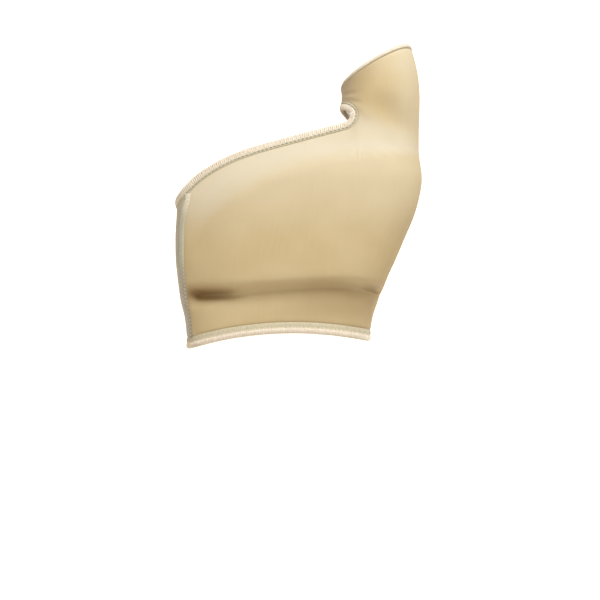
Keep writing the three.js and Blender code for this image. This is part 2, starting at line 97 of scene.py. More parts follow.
def lookUp(table, column, at):  # smooth value between the rows of a table
    ats, values = table["at"], table[column]
    last = len(ats) - 1
    after = np.minimum(np.arange(last + 1) + 1, last)
    before = np.maximum(np.arange(last + 1) - 1, 0)
    slope = (values[after] - values[before]) / (ats[after] - ats[before])
    i = np.searchsorted(ats[1:last], at)
    step = ats[i + 1] - ats[i]
    t = np.clip((at - ats[i]) / step, 0, 1)
    return (
        (1 + 2 * t) * (1 - t) ** 2 * values[i]
        + t * (1 - t) ** 2 * step * slope[i]
        + t * t * (3 - 2 * t) * values[i + 1]
        - t * t * (1 - t) * step * slope[i + 1]
    )


# the worn form, in millimetres, as the frame has it
foot = {
    "rearWidth": 75.6, "rearDepth": 60.0, "rearArch": 4.8, "rearTilt": 3.0,
    "ballWidth": 101.6, "ballShift": 7.8, "ballHeight": 70.4, "ballDepth": 42.0, "soleStep": 2.0,
    "rootRise": 7.0, "rootDepth": 26.0,
    "soleSquare": 2.8, "instepSquare": 2.1,
}
web = {
    "height": 96.4, "shift": 25.3, "radius": 6.6, "blend": 9.0, "instepDrop": 3.0,
    "slope": 0.262, "shoulderDrop": 15.0, "shoulderPower": 5.5,
}
toe = {
    "width": 32.4, "depth": 28.0, "shift": 41.7, "level": -15.0, "length": 30.2, "square": 2.25,
    "topHeight": 117.3, "topRise": 0.58, "topFall": 0.26,
    "joinInner": 84.0, "joinBlend": 15.0,
    "valleyDepth": 2.4, "valleyWidth": 8.0, "valleyRise": 3.4, "valleyFrom": (1.0, 16.0), "valleyFade": 0.12,
}
bulge = {  # the pad's outline under the cloth
    "heel": 24.4, "heelLean": 0.8, "heelSag": 0.4, "height": 67.5, "inner": 57.0, "span": 94.0, "slant": 0.29,
    "thickness": 3.4, "sideShare": 0.22, "sideFrom": (0.78, 0.2), "wrap": 0.2, "sideRadius": 24.0,
    "footRadius": 4.2, "footRound": 0.25, "topRadius": 13.0, "topRound": 0.8,
}
crease = {  # an arch behind the ball, with a deep fold at its outer end and a fine one at its inner end
    "height": 25.2, "top": 22.0, "outerReach": 56.0, "innerReach": 20.0, "sag": 3.3,
    "depth": 1.6, "above": 3.4, "below": 7.0, "fade": 0.14, "pastSeam": (-1.3, 3.0),
    "fold": 3.8, "foldEnd": -12.0, "foldLength": 12.0, "foldWidth": 2.2, "foldRise": 0.2,
    "innerFold": 2.3, "innerEnd": 26.0, "innerWidth": 1.2, "innerFade": 0.05, "innerRise": 2.0,
}
cloth = {
    "wall": 1.2, "hemPinch": 1.7, "pinchLength": 6.5, "sideEase": 0.65, "easeFrom": (-28.0, -12.0),
    "seamMiddle": 3.0, "seamEdge": 4.8, "waver": 0.16, "waverSize": 7.0, "waverSeed": 3,
    "waverCount": 6, "waverPace": 0.7, "waverSpread": 8.0,
    "soleColumns": 42, "turnColumns": 8, "toeColumns": 18, "webColumns": 11,
    "bandRows": 11, "ballRows": 38, "tubeRows": 15, "arcSteps": 96, "rounds": 8, "rowCrowding": 1.5,
    "columnCrowding": 0.6, "startCrowding": 0.5, "webEase": 1.1,
}

footTable = tableOf("at outer inner sole instep root outerSide innerSide ridge", [
    (-0.05, 0.05, -0.04, 0.0, -0.03, 0.0, 0.36, 0.5, 0.12),
    (0.17, 0.3, 0.035, 0.05, 0.14, 0.0, 0.35, 0.49, 0.15),
    (0.28, 0.63, 0.15, 0.16, 0.26, 0.0, 0.34, 0.48, 0.18),
    (0.41, 0.85, 0.285, 0.4, 0.39, 0.0, 0.34, 0.47, 0.22),
    (0.52, 0.98, 0.455, 0.7, 0.53, 0.0, 0.33, 0.46, 0.27),
    (0.65, 1.0, 0.645, 0.92, 0.66, 0.0, 0.32, 0.45, 0.32),
    (0.77, 1.0, 0.82, 1.0, 0.78, 0.0, 0.31, 0.44, 0.36),
    (0.88, 1.0, 0.925, 1.0, 0.89, 0.02, 0.3, 0.43, 0.4),
    (1.0, 1.0, 0.98, 1.0, 1.0, 0.1, 0.3, 0.42, 0.42),
    (1.32, 0.98, 0.96, 1.0, 1.0, 0.38, 0.31, 0.42, 0.43),
    (1.55, 0.97, 0.93, 1.0, 1.0, 0.62, 0.33, 0.42, 0.43),
    (2.05, 0.97, 1.0, 1.0, 1.0, 1.0, 0.35, 0.42, 0.43),
])
toeTable = tableOf("at outer inner sole top", [
    (-0.7, 1.0, 0.97, 1.0, 1.1),
    (-0.2, 1.0, 0.98, 0.97, 1.05),
    (0.1, 1.0, 1.0, 0.97, 1.02),
    (0.32, 1.0, 1.0, 1.0, 0.98),
    (0.56, 1.03, 0.955, 0.99, 0.9),
    (0.76, 1.05, 0.87, 0.96, 0.82),
    (0.9, 1.06, 0.79, 0.91, 0.76),
    (1.1, 1.08, 0.62, 0.82, 0.68),
])

outerEdge = foot["ballShift"] - foot["ballWidth"] / 2
innerEdge = foot["ballShift"] + foot["ballWidth"] / 2
ballSole = -foot["rearDepth"] / 2 - foot["soleStep"]
rootSole = ballSole + foot["rootRise"]
webEdge = web["shift"] + web["radius"]
turnStart = math.atan(web["slope"])
turnTouch = web["shift"] + web["radius"] * math.sin(turnStart)


def footSection(z):
    low = z / foot["ballHeight"]
    high = 1 + (z - foot["ballHeight"]) / (web["height"] - foot["ballHeight"])
    at = np.where(z < foot["ballHeight"], low, high)
    share = {name: lookUp(footTable, name, at) for name in footTable if name != "at"}
    half = foot["rearWidth"] / 2
    deep = foot["rearDepth"] / 2
    sole = mix(mix(-deep, ballSole, share["sole"]), rootSole, share["root"])
    top = mix(deep, ballSole + foot["ballDepth"], share["instep"])
    top = mix(top, rootSole + foot["rootDepth"], share["root"])
    return {
        "outer": mix(-half, outerEdge, share["outer"]), "inner": mix(half, innerEdge, share["inner"]),
        "sole": sole, "top": top, "ridge": share["ridge"],
        "outerSide": mix(sole, top, share["outerSide"]), "innerSide": mix(sole, top, share["innerSide"]),
        "soleSquare": foot["soleSquare"], "instepSquare": foot["instepSquare"],
    }


def toeSection(z):
    at = (z - web["height"]) / toe["length"]
    share = {name: lookUp(toeTable, name, at) for name in toeTable if name != "at"}
    level = np.full(len(z), toe["level"])
    return {
        "outer": toe["shift"] - toe["width"] / 2 * share["outer"],
        "inner": toe["shift"] + toe["width"] / 2 * share["inner"],
        "sole": toe["level"] - toe["depth"] / 2 * share["sole"],
        "top": toe["level"] + toe["depth"] / 2 * share["top"],
        "ridge": np.zeros(len(z)), "outerSide": level, "innerSide": level,
        "soleSquare": toe["square"], "instepSquare": toe["square"],
    }


def halfSections(section, sole):  # a row of points for each level, from the outer side round
    power = np.where(sole, 2 / section["soleSquare"], 2 / section["instepSquare"])[:, None]
    far = np.where(sole, section["sole"], section["top"])[:, None]
    lean = np.where(sole, 0.0, section["ridge"])[:, None]
    angle = np.linspace(0, math.pi, cloth["arcSteps"] + 1)[None]
    cosine = -np.cos(angle)
    across = bend(cosine, power)
    out = np.abs(np.sin(angle)) ** power
    out[:, -1] = 0
    place = (across + lean * (1 - across ** 2) + 1) / 2
    side = mix(section["outerSide"][:, None], section["innerSide"][:, None], place)
    x = mix(section["outer"][:, None], section["inner"][:, None], place)
    y = mix(side, far, out)
    steps = np.hypot(np.diff(x, axis=1), np.diff(y, axis=1))
    length = np.concatenate([np.zeros((len(x), 1)), np.cumsum(steps, axis=1)], axis=1)
    return x, y, length


def alongHalf(section, sole, share):  # point and outward direction at a share of each half section
    x, y, length = halfSections(section, sole)
    slopeX = np.gradient(x, axis=1)
    slopeY = np.gradient(y, axis=1)
    slopeX[:, 0] = 0
    slopeX[:, -1] = 0
    row = np.arange(len(x))
    wanted = np.clip(share, 0, 1) * length[:, -1]
    i = np.clip((length < wanted[:, None]).sum(1), 1, cloth["arcSteps"])
    t = (wanted - length[row, i - 1]) / (length[row, i] - length[row, i - 1])
    away = np.where(sole, 1.0, -1.0)
    outX = mix(slopeY[row, i - 1], slopeY[row, i], t) * away
    outY = -mix(slopeX[row, i - 1], slopeX[row, i], t) * away
    out = unit(np.stack([outX, outY], axis=1))
    return mix(x[row, i - 1], x[row, i], t), mix(y[row, i - 1], y[row, i], t), out


def shareAt(section, sole, wantedX):  # share of the half section at which it passes a place
    x, y, length = halfSections(section, sole)
    row = np.arange(len(x))
    i = np.clip((x < wantedX[:, None]).sum(1), 1, cloth["arcSteps"])
    t = (wantedX - x[row, i - 1]) / (x[row, i] - x[row, i - 1])
    return mix(length[row, i - 1], length[row, i], t) / length[:, -1]


both = np.array([True, False])  # sole, instep
webLevels = np.array([web["height"], web["height"] - web["instepDrop"]])
footWeb = shareAt(footSection(webLevels), both, np.full(2, webEdge))
toeWeb = shareAt(toeSection(webLevels), both, np.full(2, webEdge))


def footTurn(half, angle):  # share of the wide section where the web's turn has an angle
    angle = np.atleast_1d(angle)
    level = np.full(len(angle), webLevels[half])
    wanted = web["shift"] + web["radius"] * np.sin(angle)
    return shareAt(footSection(level), np.full(len(angle), half == 0), wanted)


def rearLevel(x, y, sole):
    across = np.clip(x / (foot["rearWidth"] / 2), -1, 1)
    return foot["rearArch"] * (1 - across ** 2) + foot["rearTilt"] * (1 + across) / 2 + rearHem["width"]


def creaseLevel(x, y=None, sole=None):
    outer = smooth((crease["top"] - x) / crease["outerReach"])
    inner = np.clip((x - crease["top"]) / crease["innerReach"], 0, 1) ** 2
    return crease["height"] - crease["sag"] * (outer + inner)


def openingLevel(x, y, sole):
    level = np.where(sole, webLevels[0], webLevels[1])
    beside = np.minimum(web["radius"], x - web["shift"])
    turn = level - np.sqrt(np.maximum(web["radius"] ** 2 - beside ** 2, 0))
    share = np.maximum(0, (turnTouch - x) / (turnTouch - outerEdge))
    start = level - web["radius"] * math.cos(turnStart)
    slant = start - web["slope"] * (turnTouch - x) - web["shoulderDrop"] * share ** web["shoulderPower"]
    slant = slant + np.where(sole, 0.0, web["instepDrop"] * smooth(share))
    return np.where(x > turnTouch, turn, slant)


def joinLevel(x, y, sole):
    level = np.where(sole, webLevels[0], webLevels[1])
    return mix(level, toe["joinInner"], np.clip((x - webEdge) / (innerEdge - webEdge), 0, 1))


def toeTopLevel(x, y, sole):
    rise = toe["topRise"] * (x - toe["shift"]) - toe["topFall"] * (y - toe["level"])
    return toe["topHeight"] + rise - toeHem["width"]


def pastSeam(x, z, pair):
    return grow(x - footSection(z)["outer"] - cloth["seamEdge"], pair)


def padTopLevel(x, y=None, sole=None):
    share = np.clip((bulge["inner"] - x) / bulge["span"], 0, 1)
    across = np.clip((x - foot["ballShift"]) / (foot["rearWidth"] / 2), -1, 1)
    heel = bulge["heel"] + bulge["heelLean"] * across - bulge["heelSag"] * across ** 2
    return heel + bulge["height"] * (1 - share ** 2) ** bulge["slant"]


def padBulge(sole, share, x, z):
    fromFoot = np.clip((z - creaseLevel(x)) / bulge["footRadius"], 0, 1)
    fromTop = np.clip((padTopLevel(x) - z) / bulge["topRadius"], 0, 1)
    onSole = mix(1, bulge["sideShare"], grow(share, bulge["sideFrom"]))
    onInstep = bulge["sideShare"] * smooth(1 - (1 - share) / bulge["wrap"])
    roundFoot = mix(smooth(fromFoot), np.sqrt(1 - (1 - fromFoot) ** 2), bulge["footRound"])
    slantTop = mix(smooth(fromTop), fromTop ** 2, bulge["topRound"])
    form = roundFoot * slantTop * pastSeam(x, z, (0.0, bulge["sideRadius"]))
    return bulge["thickness"] * form * np.where(sole, onSole, onInstep)


def creaseDip(share, x, z):
    fromCrease = z - creaseLevel(x)
    dip = crease["depth"] * hump(fromCrease, np.where(fromCrease > 0, crease["above"], crease["below"]))
    fold = crease["fold"] * smooth((crease["foldEnd"] - x) / crease["foldLength"])
    dip = dip + fold * hump(fromCrease - crease["foldRise"], crease["foldWidth"])
    dip = dip * pastSeam(x, z, crease["pastSeam"]) * smooth((1 - share) / crease["fade"])
    fold = crease["innerFold"] * smooth((x - crease["innerEnd"]) / crease["foldLength"])
    fold = fold * smooth((1 - share) / crease["innerFade"])
    return dip + fold * hump(fromCrease - crease["innerRise"], crease["innerWidth"])


def valleyDip(sole, share, x, z):  # the dent where the narrow tube starts
    deep = toe["valleyDepth"] * grow(x - webEdge, toe["valleyFrom"])
    deep = deep * smooth((1 - share) / toe["valleyFade"])
    return deep * hump(z - joinLevel(x, None, sole) - toe["valleyRise"], toe["valleyWidth"])


def hemDip(sole, x, z):  # the cloth is drawn in along the opening
    below = np.maximum(0, openingLevel(np.minimum(x, web["shift"]), None, sole) - z)
    tight = cloth["hemPinch"] * smooth((webEdge - x) / (2 * web["radius"]))
    tight = tight * (1 - cloth["sideEase"] * grow(x, cloth["easeFrom"]))
    return tight * hump(below, cloth["pinchLength"])


def wander(x, y, z):  # slow smooth noise, one value for each point
    waves = np.random.default_rng(cloth["waverSeed"]).uniform(0, 2 * math.pi, (cloth["waverCount"], 4))
    value = 0
    for tilt, turn, phase, pace in waves:
        place = x * math.cos(tilt) + math.sin(tilt) * (y * math.cos(turn) + z * math.sin(turn))
        pace = cloth["waverPace"] + pace / cloth["waverSpread"]
        value = value + np.sin(place * pace / cloth["waverSize"] + phase)
    return value / len(waves)


folds = [  # small folds by the web: middle x and z, half length, lean, depth, width
    {"x": 28.6, "z": 104.6, "reach": 4.2, "lean": 0.1, "depth": 0.22, "width": 0.75},
    {"x": 30.6, "z": 101.2, "reach": 3.4, "lean": -0.25, "depth": 0.22, "width": 0.7},
    {"x": 33.0, "z": 95.5, "reach": 5.0, "lean": -0.75, "depth": 0.15, "width": 1.2},
    {"x": 24.5, "z": 86.6, "reach": 5.5, "lean": 0.9, "depth": 0.18, "width": 1.4},
    {"x": -27.0, "z": 18.6, "reach": 7.0, "lean": 0.06, "depth": 0.35, "width": 0.9},
]


def foldsAt(x, z):
    lip = 0.45  # how far the cloth stands up beside a fold, as a share of its depth
    lift = 0
    for f in folds:
        along = (x - f["x"]) * math.cos(f["lean"]) + (z - f["z"]) * math.sin(f["lean"])
        aside = (z - f["z"]) * math.cos(f["lean"]) - (x - f["x"]) * math.sin(f["lean"])
        groove = hump(aside, f["width"]) - lip * hump(np.abs(aside) - 2 * f["width"], f["width"])
        lift = lift - f["depth"] * hump(along, f["reach"]) * groove
    return lift


def clothPoints(sole, share, toeShare, z):
    # share and toeShare are nan where a column runs on one tube only
    onFoot, onToe = ~np.isnan(share), ~np.isnan(toeShare)
    share = np.nan_to_num(share)
    toeShare = np.nan_to_num(toeShare)
    level = np.where(sole, webLevels[0], webLevels[1])
    footX, footY, footOut = alongHalf(footSection(z), sole, share)
    toeX, toeY, toeOut = alongHalf(toeSection(z), sole, toeShare)
    blend = smooth(1 - (joinLevel(footX, footY, sole) - z) / toe["joinBlend"])
    toToe = np.where(onFoot & onToe, blend, np.where(onFoot, 0.0, 1.0))
    x, y = mix(footX, toeX, toToe), mix(footY, toeY, toToe)
    out = unit(mix(footOut, toeOut, toToe[:, None]))

    # the wide tube's edge takes the narrow tube's form beside the web
    beside = onFoot & ~onToe & (x > webEdge - web["blend"])
    if beside.any():
        b = beside
        near = smooth(1 - (webEdge - x[b]) / web["blend"]) * smooth(1 - (level[b] - z[b]) / toe["joinBlend"])
        half = np.where(sole[b], 0, 1)
        atFoot = alongHalf(footSection(z[b]), sole[b], footWeb[half])
        atToe = alongHalf(toeSection(z[b]), sole[b], toeWeb[half])
        x[b] += near * (atToe[0] - atFoot[0])
        y[b] += near * (atToe[1] - atFoot[1])
        out[b] = unit(mix(out[b], atToe[2], near[:, None] / 2))

    lift = np.where(sole, -creaseDip(share, x, z) - valleyDip(sole, share, x, z), 0.0)
    lift = lift + padBulge(sole, share, x, z) * (1 - toToe)
    lift = np.where(onFoot, lift - hemDip(sole, x, z), 0.0)
    lift = lift + np.where(sole, foldsAt(x, z), 0.0) + cloth["waver"] * wander(x, y, z)
    return np.stack([x + out[:, 0] * lift, y + out[:, 1] * lift, z], axis=1)


def crossing(sole, share, toeShare, line):  # level at which each column meets a line
    z = np.full(len(sole), web["height"])
    for _ in range(cloth["rounds"]):
        p = clothPoints(sole, share, toeShare, z)
        z = line(p[:, 0], p[:, 1], sole)
    return z


# columns of the cloth, round the wide tube and round the web

def crowded(t):
    return mix(t, (1 - np.cos(math.pi * t)) / 2, cloth["columnCrowding"])


def crowdedStart(t):
    return mix(t, t * t, cloth["startCrowding"])


def openShares(half):  # from the outer side to the web
    turns = cloth["turnColumns"]
    straight = cloth["soleColumns"] - turns
    first = footTurn(half, turnStart)[0] * crowdedStart(np.arange(straight) / straight)
    last = footTurn(half, mix(turnStart, math.pi / 2, np.arange(turns) / turns))
    return np.concatenate([first, last])


def sharedShares(half):  # from the web to the inner side, on both tubes
    t = crowded(np.arange(cloth["toeColumns"] + 1) / cloth["toeColumns"])
    return mix(footWeb[half], 1, t), mix(toeWeb[half], 1, t)


def footColumns():  # along the sole to the inner side, and back along the instep
    soleOpen, instepOpen = openShares(0), openShares(1)[::-1][:-1]
    soleFoot, soleToe = sharedShares(0)
    instepFoot, instepToe = (part[::-1][1:] for part in sharedShares(1))
    share = np.concatenate([soleOpen, soleFoot, instepFoot, instepOpen])
    noSole, noInstep = np.full(len(soleOpen), np.nan), np.full(len(instepOpen), np.nan)
    toeShare = np.concatenate([noSole, soleToe, instepToe, noInstep])
    sole = np.arange(len(share)) < len(soleOpen) + len(soleFoot)
    return sole, share, toeShare


def webColumns():  # round the narrow tube's outer side, from the instep to the sole
    angle = math.pi * np.arange(1, 2 * cloth["webColumns"]) / (2 * cloth["webColumns"])
    sole = angle >= math.pi / 2 - 1e-9
    toeShare = np.where(sole, toeWeb[0], toeWeb[1]) * np.abs(np.cos(angle))
    middle = mix(webLevels[1], webLevels[0], (1 - np.cos(angle)) / 2)
    return sole, np.full(len(angle), np.nan), toeShare, middle + web["radius"] * np.sin(angle)


def pointGrid(sole, share, toeShare, levels):  # levels has a row for each row of the cloth
    rows = len(levels)
    flat = clothPoints(np.tile(sole, rows), np.tile(share, rows), np.tile(toeShare, rows), levels.ravel())
    return flat.reshape(rows, len(sole), 3)


# meshes

def makePiece(name, points, faces, material, corners=None, attributes=None):
    # points in millimetres, and in corners a UV pair for each corner of each face
    mesh = bpy.data.meshes.new(name)
    mesh.from_pydata((np.asarray(points) * mm).tolist(), [], [list(map(int, face)) for face in faces])
    if corners is not None:
        layer = mesh.uv_layers.new(name="weave")
        layer.data.foreach_set("uv", np.asarray(corners, dtype=float).ravel())
    for label, values in (attributes or {}).items():
        layer = mesh.attributes.new(label, "FLOAT", "POINT")
        layer.data.foreach_set("value", np.asarray(values, dtype=float))
    mesh.polygons.foreach_set("use_smooth", [True] * len(mesh.polygons))
    mesh.materials.append(material)
    mesh.update()
    piece = bpy.data.objects.new(name, mesh)
    scene.collection.objects.link(piece)
    return piece


def sweep(points, across, out, profile, closed=True):
    # a ring of profile points (across, out) at each place of the path, with caps where it is open
    rings = points[:, None] + across[:, None] * profile[..., 0:1] + out[:, None] * profile[..., 1:2]
    count, sides = rings.shape[:2]
    i, j = np.meshgrid(np.arange(count if closed else count - 1), np.arange(sides), indexing="ij")
    there, beside = (i + 1) % count, (j + 1) % sides
    quads = np.stack([i * sides + j, there * sides + j, there * sides + beside, i * sides + beside], axis=-1)
    faces = quads.reshape(-1, 4).tolist()
    if not closed:
        faces.append(list(range(sides)))
        faces.append([(count - 1) * sides + k for k in reversed(range(sides))])
    return rings.reshape(-1, 3), faces


def sweepCorners(faces, lengths, sides, closed=True):  # UV of a swept piece: length along, share round
    total = lengths[-1]
    corners = []
    for face in faces:
        ring = np.array(face) // sides
        turn = np.array(face) % sides
        wrap = turn.max() - turn.min() > 1
        ends = closed and ring.max() - ring.min() > 1
        for r, t in zip(ring, turn):
            along = total if ends and r == 0 else lengths[r]
            corners.append((along, (sides if wrap and t == 0 else t) / sides))
    return corners


def roundProfile(width, height, sides, soft=0.7):  # soft 1 is an ellipse, less is squarer
    angle = 2 * math.pi * (np.arange(sides) + 0.5) / sides
    return np.stack([width / 2 * bend(np.cos(angle), soft), height / 2 * bend(np.sin(angle), soft)], axis=1)


# materials, all of them made of nodes

def addNode(tree, kind, inputs=None, **settings):
    made = tree.nodes.new("ShaderNode" + kind)
    for label, value in settings.items():
        setattr(made, label, value)
    for key, value in (inputs or {}).items():
        if isinstance(value, bpy.types.NodeSocket):
            tree.links.new(value, made.inputs[key])
        else:
            made.inputs[key].default_value = value
    return made


def calc(tree, operation, *values):
    return addNode(tree, "Math", dict(enumerate(values)), operation=operation).outputs[0]


def times(tree, a, b):
    return calc(tree, "MULTIPLY", a, b)


def plus(tree, a, b):
    return calc(tree, "ADD", a, b)


def apart(tree, a, b):
    return calc(tree, "ABSOLUTE", calc(tree, "SUBTRACT", a, b))


def ramp(tree, value, low, high, toLow=0.0, toHigh=1.0):  # smooth step between two values
    limits = {"Value": value, "From Min": low, "From Max": high, "To Min": toLow, "To Max": toHigh}
    return addNode(tree, "MapRange", limits, interpolation_type="SMOOTHSTEP").outputs["Result"]


def tint(tree, share, first, second):  # colour between two, by share
    made = addNode(tree, "Mix", {"Factor": share}, data_type="RGBA")
    for key, value in ((6, first), (7, second)):
        if isinstance(value, bpy.types.NodeSocket):
            tree.links.new(value, made.inputs[key])
        else:
            made.inputs[key].default_value = (*value, 1)
    return made.outputs[2]


def newMaterial(name, look):
    material = bpy.data.materials.new(name)
    material.use_nodes = True
    tree = material.node_tree
    shader = tree.nodes["Principled BSDF"]
    shader.inputs["Roughness"].default_value = look["roughness"]
    shader.inputs["Sheen Weight"].default_value = look["sheen"]
    shader.inputs["Sheen Roughness"].default_value = 0.4
    shader.inputs["Specular IOR Level"].default_value = look["gloss"]
    return material, tree, shader


def cloudiness(tree, scale, detail=2.0):  # soft noise over the object, 0 to 1
    place = addNode(tree, "TexCoord").outputs["Object"]
    return addNode(tree, "TexNoise", {"Vector": place, "Scale": scale, "Detail": detail}).outputs["Fac"]


def attribute(tree, label):
    return addNode(tree, "Attribute", attribute_name=label).outputs["Fac"]


def stitches(tree):  # places counted in stitches, round the cloth and along it
    weave = addNode(tree, "UVMap", uv_map="weave").outputs["UV"]
    parts = addNode(tree, "SeparateXYZ", {"Vector": weave})
    return parts.outputs["X"], parts.outputs["Y"]


def finishWith(tree, shader, colour, height, look):  # relief in millimetres
    tree.links.new(colour, shader.inputs["Base Color"])
    relief = look["relief"] * mm
    bump = addNode(tree, "Bump", {"Height": height, "Strength": look["bump"], "Distance": relief})
    tree.links.new(bump.outputs[0], shader.inputs["Normal"])


knitLook = {
    "colour": (0.455, 0.34, 0.177), "shade": (0.43, 0.315, 0.157), "ridge": (0.475, 0.36, 0.197),
    "streaks": 0.15, "waleWidth": 0.62, "courseHeight": 0.46,  # one stitch, in millimetres
    "roughness": 0.62, "sheen": 0.0, "gloss": 0.25, "relief": 0.05, "bump": 0.5,
    "cloud": 55.0, "lean": 1.3, "paintedGrooveShade": 0.1,
    # tints over the base colour: painted highlight, painted shade, and, as the edge tint, painted shade and
    # reflection beyond the side seam
    "paintedHighlight": (0.485, 0.40, 0.268), "paintedShade": (0.22, 0.13, 0.045), "edge": (0.345, 0.30, 0.23),
}
threadLook = {
    "creamThread": ((0.76, 0.67, 0.53), (0.60, 0.50, 0.37)),
    "seamThread": ((0.50, 0.45, 0.33), (0.38, 0.34, 0.24)),
    "needleShadeThread": ((0.33, 0.30, 0.22), (0.22, 0.20, 0.14)),
    "roughness": 0.7, "sheen": 0.3, "gloss": 0.3, "relief": 0.05, "bump": 0.6, "cloud": 400.0, "twist": 0.55,
}
hemLook = {
    "knit": ((0.42, 0.35, 0.22), (0.47, 0.40, 0.26)), "cream": ((0.62, 0.50, 0.36), (0.72, 0.59, 0.45)),
    "roughness": 0.8, "sheen": 0.25, "gloss": 0.3, "relief": 0.08, "bump": 0.5, "cloud": 900.0,
}
tapeLook = {
    # grey shade low down, a cream highlight at the top: painted light
    "low": (0.27, 0.225, 0.155), "middle": (0.40, 0.365, 0.255), "top": (0.62, 0.54, 0.39),
    "roughness": 0.7, "sheen": 0.2, "gloss": 0.3, "relief": 0.08, "bump": 0.4, "cloud": 1200.0,
}
gelLook = {
    "colour": (0.74, 0.62, 0.45), "pale": 1.08, "scatter": 0.45, "reach": (1.0, 0.7, 0.45), "depth": 0.003,
    "roughness": 0.38, "sheen": 0.0, "gloss": 0.5, "relief": 0.1, "bump": 0.25,
    "cloud": 120.0, "grain": 600.0,
}


def jersey(tree, wale, course):  # height of the plain knit: two leaning legs to a stitch
    side = apart(tree, calc(tree, "FRACT", wale), 0.5)
    leg = calc(tree, "SUBTRACT", 1.0, times(tree, apart(tree, side, 0.25), 4.0))
    slant = calc(tree, "FRACT", plus(tree, course, times(tree, side, knitLook["lean"])))
    loop = calc(tree, "SUBTRACT", 1.0, apart(tree, times(tree, slant, 2.0), 1.0))
    crown = plus(tree, 0.45, times(tree, loop, 0.55))
    return times(tree, calc(tree, "POWER", leg, 0.6), crown)


def makeKnit():
    material, tree, shader = newMaterial("beigeKnit", knitLook)
    wale, course = stitches(tree)
    height = jersey(tree, wale, course)
    place = addNode(tree, "CombineXYZ", {"X": times(tree, wale, 0.55), "Y": times(tree, course, 0.03)})
    streak = addNode(tree, "TexNoise", {"Vector": place.outputs[0], "Scale": 1.0, "Detail": 1.0})
    streak = times(tree, ramp(tree, streak.outputs["Fac"], 0.35, 0.65), knitLook["streaks"])
    patches = ramp(tree, cloudiness(tree, knitLook["cloud"]), 0.3, 0.7)
    base = tint(tree, patches, knitLook["shade"], knitLook["colour"])
    base = tint(tree, streak, base, knitLook["ridge"])
    # painted highlight, painted shade and the edge tint's painted shade and reflection, each read from a
    # vertex attribute
    for label in ("paintedHighlight", "paintedShade", "edge"):
        base = tint(tree, attribute(tree, label), base, knitLook[label])
    # darker down in the knit's grooves: painted shade between the stitches
    paintedGrooveShade = plus(tree, 1 - knitLook["paintedGrooveShade"] / 2, times(tree, height, knitLook["paintedGrooveShade"]))
    coloured = addNode(tree, "VectorMath", {0: base, "Scale": paintedGrooveShade}, operation="SCALE").outputs[0]
    finishWith(tree, shader, coloured, height, knitLook)
    return material


def makeThread(name):
    colour, shade = threadLook[name]
    material, tree, shader = newMaterial(name, threadLook)
    along, turn = stitches(tree)
    # the ply twist gives relief and a darker colour in its grooves, which is painted shade; random spots mix
    # in
    twist = plus(tree, calc(tree, "DIVIDE", along, threadLook["twist"]), turn)
    strand = calc(tree, "SINE", times(tree, twist, 2 * math.pi))
    share = plus(tree, 0.5, times(tree, strand, 0.5))
    spots = ramp(tree, cloudiness(tree, threadLook["cloud"]), 0.35, 0.7)
    blended = plus(tree, times(tree, share, 0.6), times(tree, spots, 0.4))
    finishWith(tree, shader, tint(tree, blended, shade, colour), share, threadLook)
    return material


def makeHemCloth():  # overlocked edge: cream where the thread covers it, knit beyond, and knit-coloured towards the opening hem's outer end as painted shade
    material, tree, shader = newMaterial("hemCloth", hemLook)
    spots = ramp(tree, cloudiness(tree, hemLook["cloud"]), 0.3, 0.7)
    knitColour = tint(tree, spots, *hemLook["knit"])
    creamColour = tint(tree, spots, *hemLook["cream"])
    colour = tint(tree, attribute(tree, "creamAndLight"), knitColour, creamColour)
    finishWith(tree, shader, colour, spots, hemLook)
    return material


def makeSeamTape():  # painted light: grey shade low down, a cream highlight at the top
    material, tree, shader = newMaterial("seamTape", tapeLook)
    creamAndLight = attribute(tree, "creamAndLight")
    colour = tint(tree, ramp(tree, creamAndLight, 0.0, 0.5), tapeLook["low"], tapeLook["middle"])
    colour = tint(tree, ramp(tree, creamAndLight, 0.5, 1.0), colour, tapeLook["top"])
    finishWith(tree, shader, colour, cloudiness(tree, tapeLook["cloud"]), tapeLook)
    return material


def makeGel():
    material, tree, shader = newMaterial("clearGel", gelLook)
    shader.inputs["Subsurface Weight"].default_value = gelLook["scatter"]
    shader.inputs["Subsurface Radius"].default_value = gelLook["reach"]
    shader.inputs["Subsurface Scale"].default_value = gelLook["depth"]
    pale = tuple(min(1.0, part * gelLook["pale"]) for part in gelLook["colour"])
    colour = tint(tree, ramp(tree, cloudiness(tree, gelLook["cloud"]), 0.3, 0.7), gelLook["colour"], pale)
    finishWith(tree, shader, colour, cloudiness(tree, gelLook["grain"]), gelLook)
    return material


knit, hemCloth, seamTape, gel = makeKnit(), makeHemCloth(), makeSeamTape(), makeGel()
thread, seamThread, needleShadeThread = (makeThread(name) for name in ("creamThread", "seamThread", "needleShadeThread"))
print("materials made")


